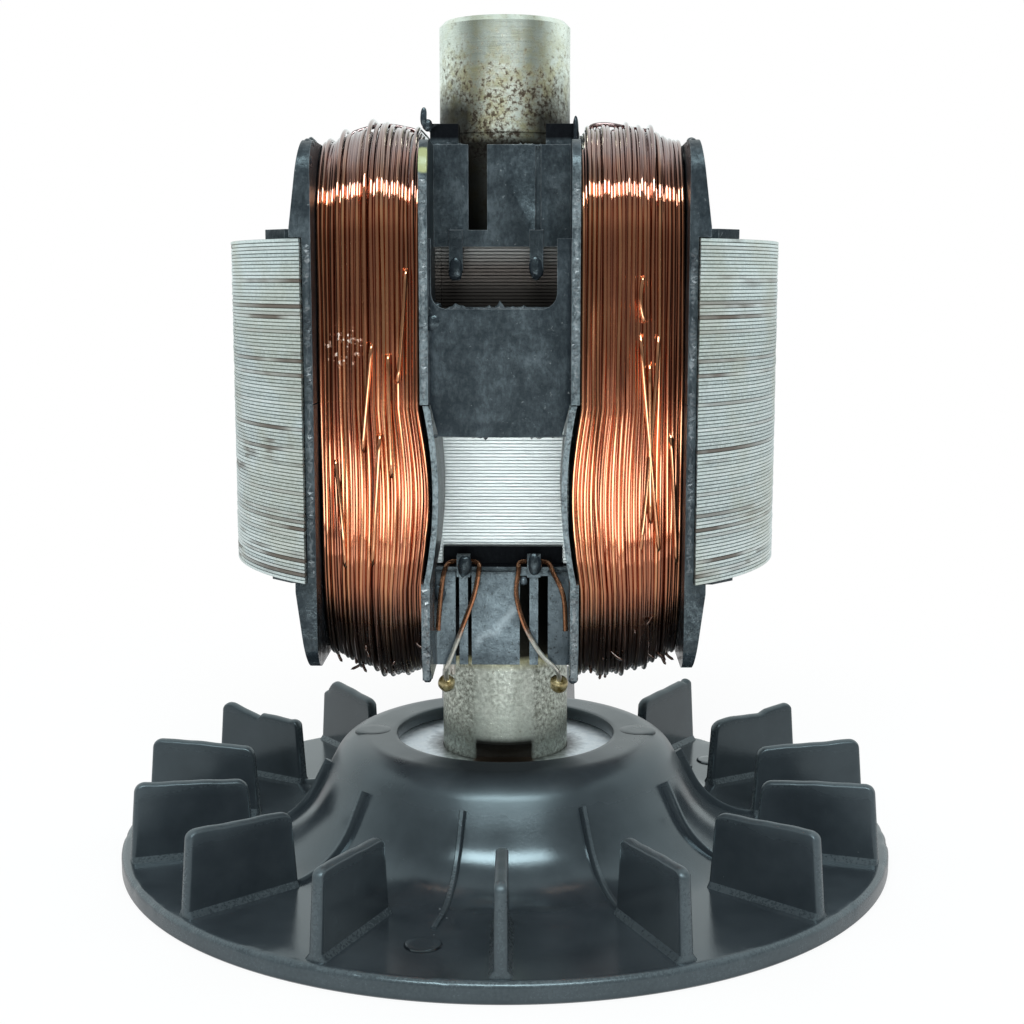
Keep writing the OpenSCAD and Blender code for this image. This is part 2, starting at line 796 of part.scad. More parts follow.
// Its two ends lean in and run into the rounded corners.
module blade_outline() {
    lean = blade_draft / blade_h;
    slant = sqrt(1 + lean * lean);
    outer_z = disc_t + blade_h - blade_corner;
    inner_z = outer_z - blade_fall;
    outer_x = lean * (outer_z - disc_t) + blade_corner * slant - blade_outer;
    inner_x = -blade_inner - lean * (inner_z - disc_t) - blade_corner * slant;
    touch = blade_corner / slant * [1, -lean];
    polygon([[-blade_outer, disc_t - cut], [-blade_inner, disc_t - cut], [-blade_inner, disc_t],
        [inner_x + touch[0], inner_z - touch[1]], [inner_x, inner_z + blade_corner],
        [outer_x, outer_z + blade_corner], [outer_x - touch[0], outer_z - touch[1]], [-blade_outer, disc_t]]);
    translate([outer_x, outer_z]) circle(blade_corner);
    translate([inner_x, inner_z]) circle(blade_corner);
}

module blade() {
    along_x(-blade_t / 2, blade_t / 2) blade_outline();
    along_y(-blade_outer, -blade_inner) polygon([[-bead_w / 2, disc_t - cut], [bead_w / 2, disc_t - cut],
        [bead_w / 2, disc_t], [blade_t / 2, disc_t + bead_h], [-blade_t / 2, disc_t + bead_h],
        [-bead_w / 2, disc_t]]);
}

module rib() {
    along_x(-rib_t / 2, rib_t / 2) mirror([1, 0]) intersection() {
        difference() {
            union() {
                under_bell(-rib_h);
                translate([hollow_c[0], 0]) square([rib_end - hollow_c[0], disc_t + rib_h]);
            }
            under_bell(fan_wall / 2);
        }
        translate([rib_start, disc_t - cut]) square([rib_end - rib_start, shoulder_end[1]]);
    }
}

module ejector_marks() {
    hub_mark_foot = plate_top + 2 * press_gap;
    for (side = [-1, 1]) translate([side * (shoulder_c[0] + hub_ejector_shift), 0, hub_mark_foot])
        cylinder(h = hub_h + hub_ejector_h - hub_mark_foot, d = hub_ejector_d);
    for (k = [0 : 3 : blade_count - 1]) rotate((k - 0.5) * blade_step)
        translate([0, -blade_middle, disc_t - cut]) cylinder(h = cut + ejector_h, d = ejector_d);
}

// Wear: a nick and a broken corner on two rear blades, and a chip in the rim.
module fan_wear() {
    nick = [2 * blade_t, 1.6, 1.6];
    broken_corner = [2 * blade_t, 4.4, 3.6];
    rim_chip = [3.4, 1.8, 1.8];
    rotate(-5 * blade_step) translate([0, -blade_middle, disc_t + blade_h]) rotate([45, 0, 0])
        cube(nick, center = true);
    rotate(-6 * blade_step) translate([0, -blade_outer, disc_t + blade_h]) rotate([35, 0, 0])
        cube(broken_corner, center = true);
    rotate(blade_step / 3) translate([0, -fan_r, disc_t]) rotate([50, 0, 12]) cube(rim_chip, center = true);
}

module fan() {
    color(black_plastic) rotate(fan_turn) difference() {
        union() {
            rotate_extrude() fan_section();
            for (k = [0 : blade_count - 1]) rotate(k * blade_step) blade();
            for (k = [0 : rib_count - 1]) rotate(k * rib_step - blade_step / 2) rib();
            ejector_marks();
        }
        fan_wear();
    }
}

module hub_plate() {
    color(zinc) difference() {
        translate([0, 0, plate_foot]) cylinder(h = plate_t, d = plate_d);
        difference() {
            translate([0, 0, plate_foot - cut]) cylinder(h = plate_t + 2 * cut, r = shaft_r + press_gap);
            drive_slots(press_gap);
        }
    }
}

shaft();
core();
upper_insulator();
lower_insulator();
left_coil();
right_coil();
left_front_lead();
right_front_lead();
left_rear_lead();
right_rear_lead();
left_front_solder();
right_front_solder();
left_rear_solder();
right_rear_solder();
left_diode();
right_diode();
fan();
hub_plate();
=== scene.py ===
import functools
import math

import bmesh
import bpy
import mathutils
import numpy as np
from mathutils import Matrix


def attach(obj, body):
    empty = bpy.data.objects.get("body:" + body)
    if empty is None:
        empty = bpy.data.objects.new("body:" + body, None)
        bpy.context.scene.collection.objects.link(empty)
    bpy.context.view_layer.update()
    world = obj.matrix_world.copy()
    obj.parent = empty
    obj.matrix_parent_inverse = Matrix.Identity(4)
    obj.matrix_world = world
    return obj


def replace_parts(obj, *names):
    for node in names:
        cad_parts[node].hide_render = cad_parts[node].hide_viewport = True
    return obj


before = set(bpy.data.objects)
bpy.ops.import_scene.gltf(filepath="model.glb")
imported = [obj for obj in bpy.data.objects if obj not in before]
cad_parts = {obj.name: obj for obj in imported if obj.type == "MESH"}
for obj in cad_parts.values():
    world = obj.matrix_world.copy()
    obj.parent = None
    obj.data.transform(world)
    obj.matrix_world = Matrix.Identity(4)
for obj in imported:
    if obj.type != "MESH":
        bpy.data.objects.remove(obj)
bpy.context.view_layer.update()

# Shaft: a ground steel bar, turned and bored, that carries everything else.
# It is bare metal: bright where the bearing sits, spotted with rust round the seat's foot
# and dull with old varnish at the fan end.


def start_finish(name, **values):
    """A new material and its shader; each value is set on the socket of that name."""
    finish = bpy.data.materials.new(name + "_look")
    finish.use_nodes = True
    shader = finish.node_tree.nodes["Principled BSDF"]
    for socket, value in values.items():
        shader.inputs[socket.replace("_", " ")].default_value = value
    return finish, shader


def add(tree, kind, inputs, out=0, **settings):
    """Adds a node, links or sets its inputs by name or number, and returns one of its outputs."""
    node = tree.nodes.new("ShaderNode" + kind)
    for key, value in settings.items():
        setattr(node, key, value)
    for key, value in inputs.items():
        if isinstance(value, bpy.types.NodeSocket):
            tree.links.new(value, node.inputs[key])
        else:
            node.inputs[key].default_value = value
    return node.outputs[out]


def place_mm(finish):
    """The place on the piece, in millimetres."""
    metres = add(finish.node_tree, "TexCoord", {}, out=3)
    return add(finish.node_tree, "VectorMath", {0: metres, 3: 1000.0}, operation="SCALE")


def parts(place):
    """The X, Y and Z of a place."""
    return add(place.id_data, "SeparateXYZ", {0: place}).node.outputs[:]


def grain(place, scale, detail=3.0, rough=0.55):
    """Cloudy noise with features of about one over the scale, in millimetres."""
    return add(place.id_data, "TexNoise", {"Vector": place, "Scale": scale, "Detail": detail, "Roughness": rough})


def stretched(place, x, y, z):
    """The place with each direction multiplied, so that a pattern runs along the others."""
    return add(place.id_data, "VectorMath", {0: place, 1: (x, y, z)}, operation="MULTIPLY")


def step(value, low, high, to_low=0.0, to_high=1.0):
    """Carries a value from one range to another and stops at its ends."""
    return add(value.id_data, "MapRange", {0: value, 1: low, 2: high, 3: to_low, 4: to_high})


def maths(operation, value, *others):
    """One sum on a value, or on a value and each of the others in turn."""
    for other in others or (0.0,):
        value = add(value.id_data, "Math", {0: value, 1: other}, operation=operation)
    return value


times, plus, minus, larger, unsigned = (
    functools.partial(maths, operation) for operation in ("MULTIPLY", "ADD", "SUBTRACT", "MAXIMUM", "ABSOLUTE"))


def tint(value, *stops):
    """Colours along a value from 0 to 1; each stop is a place and a colour."""
    out = add(value.id_data, "ValToRGB", {0: value})
    ramp = out.node.color_ramp
    while len(ramp.elements) < len(stops):
        ramp.elements.new(1.0)
    for element, (at, colour) in zip(ramp.elements, stops):
        element.position = at
        element.color = (*colour, 1.0)
    return out


def mixed(share, under, over):
    """The colour over laid on the colour under by a share."""
    sides = {0: share}
    for key, colour in ((6, under), (7, over)):
        sides[key] = (*colour, 1.0) if isinstance(colour, tuple) else colour
    return add(share.id_data, "Mix", sides, out=2, data_type="RGBA")


def layered(colour, *layers):
    """Colours laid on a first one, each over those before it; a layer is its share, its strength and its colour."""
    for share, strength, over in layers:
        colour = mixed(times(share, strength), colour, over)
    return colour


def join(value, node, socket):
    """Links a value to a node's input."""
    value.id_data.links.new(value, node.inputs[socket])


def wear(shader, colour, roughness, height=None, depth=0.0):
    """Joins colour, roughness and a relief of some depth in millimetres to the shader."""
    join(colour, shader, "Base Color")
    join(roughness, shader, "Roughness")
    if height is not None:
        relief = add(height.id_data, "Bump", {"Height": height, "Strength": 1.0, "Distance": 0.001 * depth})
        join(relief, shader, "Normal")


def dress(node, finish):
    """Gives a CAD node its finish."""
    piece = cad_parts[node]
    for place in piece.material_slots:
        place.material = finish


shaft_steel, shader = start_finish("shaft_steel", Metallic=0.92)
place = place_mm(shaft_steel)
x, y, z = parts(place)
across, front, upper = unsigned(x), step(y, 4, -8), step(z, 90, 92)
clouds = grain(place, 0.16, 4)
rings = grain(stretched(place, 0.15, 0.15, 6), 1, 2)
# rust in fine spots, thickest at the foot of the bearing's seat
spots_zone = tint(step(z, 100, 130), (0.0, (0, 0, 0)), (0.30, (1, 1, 1)),
                  (0.60, (0.9, 0.9, 0.9)), (0.76, (0.6, 0.6, 0.6)), (0.92, (0.2, 0.2, 0.2)))
spots_reach = times(spots_zone, front, step(clouds, 0.30, 0.52, 0.35, 1.0), 0.22)
spots = plus(grain(place, 1.5, 6, 0.72), spots_reach)
haze, rust = step(spots, 0.58, 0.74), step(spots, 0.70, 0.78)
# the dull fan end, hammered all round, with varnish above; its mottle is a painted highlight, faint down the middle
# and dark at the sides
dull = step(z, 40, 33)
hammered = grain(place, 1.7, 5, 0.7)
middle = step(across, 5.0, 4.2)
mottle = times(dull, step(hammered, 0.36, 0.62))
varnish = times(dull, step(z, 30.6, 32.0))
# streaks along the bar, two dark bands of painted reflection, and an amber haze on its upper end
streaks = step(grain(stretched(place, 0.5, 0.5, 0.012), 1, 3), 0.48, 0.64)
painted_reflection_bands = times(step(unsigned(minus(across, 4.3)), 1.9, 0.3), front, upper)
amber = times(step(grain(place, 0.45, 5, 0.6), 0.46, 0.62), front, step(z, 131, 120, 0.1, 0.7))
# painted shade: near black inside the two towers, at the sides of the seat's foot and in the drive slot
tower_shade = larger(step(unsigned(minus(z, 103.0)), 10.5, 8.0), step(unsigned(minus(z, 41.0)), 8.8, 8.0))
foot_shade = times(step(across, 2.5, 5.5), step(plus(z, times(clouds, 7)), 125.0, 118.5), upper, 0.95)
shaft_shade = larger(times(middle, step(z, 20.2, 19.2)), tower_shade, foot_shade)
steel = layered(
    tint(clouds, (0.3, (0.66, 0.73, 0.65)), (0.7, (0.92, 0.98, 0.88))),
    # painted highlight: the mottle is faint down the middle and dark at the sides
    (mottle, step(middle, 0, 1, 0.9, 0.3), (0.22, 0.23, 0.19)),
    (streaks, 0.2, (0.30, 0.34, 0.27)),
    (painted_reflection_bands, 0.5, (0.20, 0.22, 0.16)),
    (amber, upper, (0.52, 0.48, 0.24)),
    (varnish, 0.6, (0.42, 0.38, 0.12)),
    (haze, 0.7, (0.22, 0.17, 0.10)),
    (rust, 0.9, (0.06, 0.038, 0.026)),
    (shaft_shade, 0.96, (0.012, 0.010, 0.009)))
rust_mottle_and_shade = maths("MINIMUM", plus(haze, mottle, shaft_shade), 1.0)
polish = plus(step(rings, 0.3, 0.7, 0.24, 0.34), times(rust_mottle_and_shade, 0.25))
relief = minus(times(rings, 0.03), rust, times(hammered, dull, 2))
wear(shader, steel, polish, relief, 0.02)
dress("shaft", shaft_steel)

# Core: ninety-six punched sheets of electrical steel, pressed on to the shaft.
# Each sheet is one outline with two pole shoes; its edge is rounded by the punch, and no two
# sheets lie quite alike. Some edges have gone brown.

sheet_t, sheet_count, core_foot = 0.5, 96, 48.5
core_r, shoe_at, neck_half, hub_half, hub_l_half, bore_r = 42.0, 27.4, 14.5, 9.1, 13.2, 10.08


def grid_faces(rows, columns, round_rows=False, round_columns=False):
    """Quads between neighbours in a grid numbered row by row; a round side joins its last line to its first."""
    i = np.arange(rows if round_rows else rows - 1)[:, None]
    j = np.arange(columns if round_columns else columns - 1)[None, :]
    i2, j2 = (i + 1) % rows, (j + 1) % columns
    return np.stack([i * columns + j, i * columns + j2, i2 * columns + j2, i2 * columns + j], -1).reshape(-1, 4)


def shown_as(name, data):
    """A new object in the scene for a mesh, a lamp or a camera."""
    thing = bpy.data.objects.new(name, data)
    bpy.context.scene.collection.objects.link(thing)
    return thing


def put_piece(name, points, faces, finish, slot, sharp=None, rubbed=None):
    """Puts points in millimetres and their faces into a new piece that rides on the rotor. Faces are smooth, or
    smooth up to a sharp angle in degrees; 0 leaves them flat. A value for each point says how rubbed it is."""
    mesh = bpy.data.meshes.new(name)
    mesh.from_pydata((np.asarray(points).reshape(-1, 3) * 0.001).tolist(), [], [list(f) for f in faces])
    mesh.polygons.foreach_set("use_smooth", np.full(len(mesh.polygons), sharp != 0))
    if sharp:
        mesh.set_sharp_from_angle(angle=math.radians(sharp))
    if rubbed is not None:
        values = mesh.attributes.new("rubbed", "FLOAT", "POINT").data
        values.foreach_set("value", np.asarray(rubbed, dtype=np.float32))
    mesh.materials.append(finish)
    piece = shown_as(name, mesh)
    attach(piece, "root")
    return piece


def half_sheet():
    """The right half of a sheet's outline, from the front of the hub round the pole shoe to its back, and the
    outward direction at each point."""
    tip = math.acos(shoe_at / core_r)
    arc = np.linspace(-tip, tip, 72)
    hub = np.linspace(0, hub_half, 10)
    front = [np.stack([hub, np.full(10, -hub_l_half)], -1),
             [[hub_half, -neck_half], [shoe_at, -neck_half]]]
    shoe = core_r * np.stack([np.cos(arc), np.sin(arc)], -1)
    back = [[[shoe_at, neck_half], [hub_half, neck_half]],
            np.stack([hub[::-1], np.full(10, hub_l_half)], -1)]
    points = np.concatenate([*front, shoe, *back])
    out = np.concatenate([np.tile([0, -1.0], (12, 1)), shoe / core_r, np.tile([0, 1.0], (12, 1))])
    return points, out


def core_stack(rng):
    """Each sheet is four rows of its outline: drawn in at its two faces, full between them, and shifted as a
    whole by chance."""
    right, right_out = half_sheet()
    outline = np.concatenate([right, -right])
    out = np.concatenate([right_out, -right_out])
    rows_z = np.array([0.0, 0.08, 0.42, 0.5])
    rows_in = np.array([0.14, 0.0, 0.0, 0.14])
    shift = rng.normal(0, 0.018, (sheet_count, 1, 1, 2))
    proud = rng.normal(0, 0.016, (sheet_count, 1, 1, 1))
    flat = outline + out * (proud - rows_in[:, None, None]) + shift
    level = core_foot + sheet_t * np.arange(sheet_count)[:, None] + rows_z
    level = np.broadcast_to(level[..., None], flat.shape[:3])
    points = np.concatenate([flat, level[..., None]], -1).reshape(-1, 3)
    columns = len(outline)
    faces = list(grid_faces(4 * sheet_count, columns, round_columns=True))
    # the two end faces, each in two halves round the shaft's hole
    turn = np.linspace(0.5 * math.pi, -0.5 * math.pi, 33)
    hole = bore_r * np.stack([np.cos(turn), np.sin(turn)], -1)
    count = len(points)
    half = len(right)
    for row, upward in ((0, False), (4 * sheet_count - 1, True)):
        z = points[row * columns, 2]
        for side in (1, -1):
            rim = np.arange(half) + row * columns + (0 if side > 0 else half)
            ring = np.arange(len(hole)) + count
            points = np.concatenate([points, np.column_stack([side * hole, np.full(len(hole), z)])])
            count += len(hole)
            face = np.concatenate([rim, ring])
            faces.append(face if upward else face[::-1])
    # the hole's wall, from each half ring of the lower face to the one above it
    low = (np.array([[4], [3]]) * -len(hole) + count + np.arange(len(hole) - 1)).ravel()
    high = low + 2 * len(hole)
    faces += list(np.stack([low, low + 1, high + 1, high], -1))
    return points, faces


sheet_steel, shader = start_finish("sheet_steel", Metallic=0.85)
place = place_mm(sheet_steel)
x, y, z = parts(place)
across = unsigned(x)
# each sheet has a tone of its own, and a dark gap to the next one
counted = maths("DIVIDE", minus(z, core_foot), sheet_t)
sheet = maths("FLOOR", counted)
own = add(sheet_steel.node_tree, "TexWhiteNoise", {"W": sheet}, noise_dimensions="1D")
gap = step(unsigned(minus(maths("FRACT", counted), 0.5)), 0.28, 0.46)
along = add(sheet_steel.node_tree, "CombineXYZ", {0: x, 1: y, 2: times(sheet, 3.7)})
stain = grain(stretched(along, 0.05, 0.05, 1), 1, 3)
groups = grain(stretched(place, 0.03, 0.03, 0.12), 1, 2)
specks = grain(place, 2.4, 4)
# brown edges: single sheets, and stains over some neighbours; hardly any on the hub
brown = times(step(own, 0.77, 0.85), step(stain, 0.38, 0.52), step(across, 41, 33, 0.35, 1.0))
brown = larger(brown, times(step(stain, 0.56, 0.62), step(groups, 0.50, 0.62), 0.75))
brown = times(brown, step(across, 10, 18, 0.05, 0.85))
yellow = times(step(grain(place, 0.09, 4), 0.45, 0.62), step(across, 12, 26))
# painted shade behind the window: dark brown, lighter at its top and near black toward its sill
window_shade = times(step(z, 84, 87), step(across, 14, 11.5))
edge = layered(
    tint(plus(times(own, 0.3), times(specks, 0.7)),
         (0.2, (0.48, 0.56, 0.56)), (0.5, (0.78, 0.88, 0.87)), (0.75, (0.94, 1.0, 0.99))),
    (gap, step(window_shade, 0, 1, 0.62, 0.0), (0.09, 0.10, 0.095)),
    # painted reflection: the hub's sheets are laid near white
    (step(across, 12, 9), 0.75, (0.92, 0.98, 0.98)),
    (yellow, 0.28, (0.50, 0.48, 0.32)),
    (brown, 1.0, (0.13, 0.085, 0.06)),
    (window_shade, step(z, 92.5, 95, 0.94, 0.74), (0.075, 0.055, 0.045)),
    (window_shade, step(z, 91.5, 87.5, 0, 0.7), (0.018, 0.014, 0.012)))
wear(shader, edge, step(plus(specks, brown), 0.3, 1.2, 0.34, 0.6), specks, 0.015)
core_points, core_faces = core_stack(np.random.default_rng(7))
core = put_piece("core_sheets", core_points, core_faces, sheet_steel, "sheet_steel", sharp=0)
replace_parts(core, "core")

# Insulators: two mouldings of dark glass-filled plastic, slid over the stack from its two ends.
# Their edges are rounded by the mould and by handling, the free ones are torn and burred pale, and
# old varnish has dulled them.


def point_value(finish):
    """The value called rubbed that a piece holds for each of its points."""
    return add(finish.node_tree, "Attribute", {}, out=2, attribute_name="rubbed")


def distance(place, spot):
    """How far the place is from a spot, in millimetres."""
    return add(place.id_data, "VectorMath", {0: place, 1: spot}, out=1, operation="DISTANCE")


insulator_plastic, shader = start_finish("insulator_plastic", Specular_IOR_Level=0.6,
                                         Specular_Tint=(0.75, 0.94, 1.0, 1.0))
insulator_edge, edge_shader = start_finish("insulator_edge", Specular_IOR_Level=0.6)
for finish, bsdf, low, high, pale in (
        (insulator_plastic, shader, (0.008, 0.011, 0.014), (0.024, 0.030, 0.037), 0.16),
        (insulator_edge, edge_shader, (0.018, 0.023, 0.028), (0.11, 0.132, 0.145), 0.75)):
    place = place_mm(finish)
    x, y, z = parts(place)
    across, deep, foot = unsigned(x), unsigned(y), step(z, 50, 44)
    clouds = grain(place, 0.22, 5, 0.62)
    fine = grain(place, 2.6, 5, 0.65)
    smears = grain(stretched(place, 1.6, 1.6, 0.9), 1, 5, 0.7)
    blot = plus(times(clouds, 0.55), times(smears, 0.45))
    # the front and rear edges of the inner flanges are scraped pale
    strip = times(step(deep, 30.4, 30.8), step(across, 13, 12.5),
                  step(minus(across, step(z, 74.6, 74.4, 9.7, 7.0)), 0, 0.2),
                  step(z, 76, 72, 0.3, 0.8), step(z, 46, 51, 0.3, 1.0),
                  step(plus(fine, smears), 0.80, 1.12, 0.15, 1.0))
    # the lower panels are pitted, painted paler and bluish as a reflection, and crossed by a slanting painted
    # reflection
    panel = times(step(z, 47.6, 47.2), step(across, 9.9, 9.7))
    pits = times(step(z, 49, 47), step(grain(place, 1.7, 2, 0.5), 0.60, 0.66))
    # painted reflection: a pale slanting band across the middle of the lower panels
    slant = unsigned(plus(minus(z, times(x, 0.74), 42.7), times(clouds, 5)))
    run = times(step(slant, 1.5, 0.1, 0, 0.55), step(across, 4.4, 3.6))
    # pale specks all over, and one yellow blot of varnish on the left flange
    specks = step(grain(place, 1.3, 6, 0.72), 0.645, 0.71)
    varnish = step(plus(distance(place, (-10.4, -30.6, 107.2)), times(clouds, 2.5)), 3.4, 2.8)
    # painted shade: near black inside the lower tower and on the posts of the upper one
    cavity_shade = times(step(deep, 16.15, 16.05), step(across, 9.95, 9.8), step(z, 52.4, 52.0))
    moulding_shade = larger(cavity_shade, times(step(z, 110.6, 111.2), step(across, 10.6, 10.2)))
    colour = layered(
        tint(plus(times(clouds, 0.5), times(fine, 0.5)), (0.34, low), (0.66, high)),
        (step(blot, 0.52, 0.66), pale, (0.17, 0.20, 0.22)),
        (strip, 1.0, (0.24, 0.285, 0.30)),
        # painted reflection: the lower panels laid paler and bluish
        (panel, step(clouds, 0.3, 0.6, 0.35, 0.9), (0.115, 0.14, 0.16)),
        (pits, 0.8, (0.012, 0.013, 0.015)),
        (run, panel, (0.42, 0.47, 0.50)),
        (specks, 0.6, (0.34, 0.36, 0.36)),
        (varnish, 0.8, (0.40, 0.42, 0.20)),
        (moulding_shade, 0.9, (0.004, 0.004, 0.005)))
    # shinier at the foot and where it has melted
    shine = times(step(z, 52, 46, 0.6, 1.0), step(blot, 0.42, 0.60, 0.45, 1.25), step(moulding_shade, 0, 1, 1.0, 0.05))
    join(shine, bsdf, "Specular IOR Level")
    polish = minus(step(fine, 0.3, 0.7, 0.28, 0.44), times(larger(foot, point_value(finish)), 0.18))
    relief = times(plus(fine, smears), step(foot, 0, 1, 1.0, 0.35))
    wear(bsdf, colour, polish, plus(times(clouds, 7), relief), 0.03)


edge_width, edge_angle, flat_angle = 0.25, math.radians(40), math.radians(1.0)


def rounded_copy(name, node, body, edge):
    """A copy of a CAD node with its triangles joined to flat faces and its edges rounded by a bevel, which
    takes the edge's own finish."""
    shape = bmesh.new()
    shape.from_mesh(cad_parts[node].data)
    bmesh.ops.remove_doubles(shape, verts=shape.verts, dist=2e-6)
    bmesh.ops.dissolve_limit(shape, angle_limit=flat_angle, verts=shape.verts, edges=shape.edges)
    mesh = bpy.data.meshes.new(name)
    shape.to_mesh(mesh)
    shape.free()
    mesh.materials.clear()
    mesh.materials.append(body)
    mesh.materials.append(edge)
    mesh.polygons.foreach_set("material_index", np.zeros(len(mesh.polygons), dtype=np.int32))
    mesh.polygons.foreach_set("use_smooth", np.full(len(mesh.polygons), True))
    mesh.set_sharp_from_angle(angle=math.radians(35))
    piece = shown_as(name, mesh)
    bevel = piece.modifiers.new("rounding", "BEVEL")
    bevel.width, bevel.segments, bevel.limit_method, bevel.angle_limit = 0.001 * edge_width, 2, "ANGLE", edge_angle
    bevel.material, bevel.harden_normals = 1, True
    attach(piece, "root")
    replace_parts(piece, node)


def held(values):
    """Values held between 0 and 1."""
    return np.clip(values, 0, 1)


def burr(line, rise, thick, high, rng):
    """A torn edge: along a line, a wedge whose height is chance with some long tears, falling to nothing at
    the two ends."""
    line, rise = np.asarray(line, float), np.asarray(rise, float)
    steps = np.concatenate([[0], np.cumsum(np.linalg.norm(np.diff(line, axis=0), axis=1))])
    count = max(8, int(steps[-1] / 0.35))
    s = np.linspace(0, steps[-1], count)
    base = np.stack([np.interp(s, steps, line[:, k]) for k in range(3)], -1)
    ahead = np.gradient(base, axis=0)
    side = np.cross(ahead, rise)
    side /= np.linalg.norm(side, axis=1, keepdims=True)
    waves = 0.5 + 0.5 * np.sin(s * rng.uniform(0.5, 0.9) + rng.uniform(0, 6))
    h = high * (0.15 + waves * rng.uniform(0, 1, count) ** 2.2) * held(np.minimum(s, steps[-1] - s) / 0.8)
    tip = base + rise * h[:, None] + side * (rng.normal(0, 0.25, count) * thick)[:, None]
    wide = 0.5 * thick * side
    return np.stack([base - wide - 0.15 * rise, base - wide + 0.3 * h[:, None] * rise, tip,
                     base + wide + 0.3 * h[:, None] * rise, base + wide - 0.15 * rise], 1)


lump_sides, lump_rings = 16, 11


def lump(centre, radii, rng, rough=0.1):
    """A melted drop: a ball stretched to three radii whose surface swells and sinks in slow waves. Its points run
    ring by ring between its two poles."""
    up = np.linspace(-0.5, 0.5, lump_rings + 2)[1:-1, None] * math.pi
    turn = 2 * math.pi * np.arange(lump_sides)[None] / lump_sides
    way = np.stack(np.broadcast_arrays(np.cos(up) * np.cos(turn), np.cos(up) * np.sin(turn), np.sin(up)), -1)
    way = np.concatenate([[[0, 0, -1.0]], way.reshape(-1, 3), [[0, 0, 1.0]]])
    waves = np.sin(way @ rng.normal(0, 2.2, (3, 5)) + rng.uniform(0, 6, 5)).sum(1)
    points = np.asarray(centre) + way * radii * (1 + rough * waves / 2.2)[:, None]
    low = 1 + np.arange(lump_sides)
    low2 = np.roll(low, -1)
    up_by, last = lump_sides * (lump_rings - 1), len(points) - 1
    faces = [*(grid_faces(lump_rings, lump_sides, round_columns=True) + 1), *np.stack([0 * low, low2, low], -1),
             *np.stack([0 * low + last, up_by + low, up_by + low2], -1)]
    return points, faces


def merged(surfaces):
    """Several surfaces as one: their points in a row, and their faces counted on from the points before."""
    starts = np.cumsum([0] + [len(points) for points, _ in surfaces])
    faces = [np.add(face, start) for (_, faces), start in zip(surfaces, starts) for face in faces]
    return np.concatenate([points for points, _ in surfaces]), faces


for node in ("upper_insulator", "lower_insulator"):
    rounded_copy(node + "_moulding", node, insulator_plastic, insulator_edge)

panel_y, flange_x, flange_y, ear_x, ear_y = 16.9, 10.5, 31.0, 26.75, 30.2
tower_top, ear_foot, scraped_y, rim_x, rim_y, ear_back = 110.05, 35.35, 0.05 - flange_y, 26.65, 0.05 - ear_y, -24.5
upward, downward = (0, 0, 1), (0, 0, -1)
band_r, band_front_r, band_foot, sill_rise = 36, 35.3, 69.25, 17.75
turn = np.linspace(-0.29, 0.29, 15)
band_edge = np.stack([band_front_r * np.sin(turn), band_r - flange_y - band_front_r * np.cos(turn),
                      np.full(15, band_foot)], -1)
rng = np.random.default_rng(19)
tears = []
# each torn edge: its line, the way it stands out, its thickness and its height; the rear is the front turned round
for end in (1, -1):
    out = (0, -end, 0)
    rows = [([[-10.6, -panel_y, tower_top], [-4.9, -panel_y, tower_top]], upward, 1.2, 0.55),
            ([[-2.1, -panel_y, tower_top], [10.6, -panel_y, tower_top]], upward, 1.2, 0.5)]
    for side in (-1, 1):
        bowed = [[side * at, scraped_y, z] for at, z in ((10.0, 50), (9.2, 56), (8.95, 61), (9.2, 67), (10.0, 73))]
        rows += [([[side * flange_x, scraped_y, z] for z in (74, 104.5)], out, 1.0, 0.45),
                 ([[side * flange_x, scraped_y, z] for z in (34.5, 48)], out, 1.0, 0.5),
                 (bowed, out, 0.7, 0.5),
                 ([[side * rim_x, rim_y, z] for z in (49, 96)], out, 1.0, 0.35),
                 ([[side * ear_x, y, tower_top] for y in (ear_back, 0)], upward, 1.2, 0.5),
                 ([[side * ear_x, y, ear_foot] for y in (ear_back, 0)], downward, 1.2, 0.5)]
    flap = [[-10.5, -panel_y, 112.0], [-10.1, -panel_y, 112.6], [-9.3, -panel_y, 112.9]]
    rows += [(band_edge, downward, 1.1, 0.5), (band_edge[2:-2] + [0, 0, sill_rise], upward, 1.0, 1.05),
             (flap, (-0.5 * end, 0, 0.87), 0.9, 1.4)]
    tears += [burr(np.array(line) * [end, end, 1], rise, thick, high, rng) for line, rise, thick, high in rows]
for group, low, high in (("upper", 69, 120), ("lower", 20, 69)):
    surfaces = []
    for tear in [t for t in tears if low < t[:, :, 2].mean() < high]:
        count = 5 * len(tear)
        faces = [*grid_faces(len(tear), 5, round_columns=True), range(4, -1, -1), range(count - 5, count)]
        surfaces.append((tear.reshape(-1, 3), faces))
    points, faces = merged(surfaces)
    put_piece(group + "_insulator_tears", points, faces, insulator_edge, "insulator_plastic", sharp=0,
              rubbed=np.ones(len(points)))

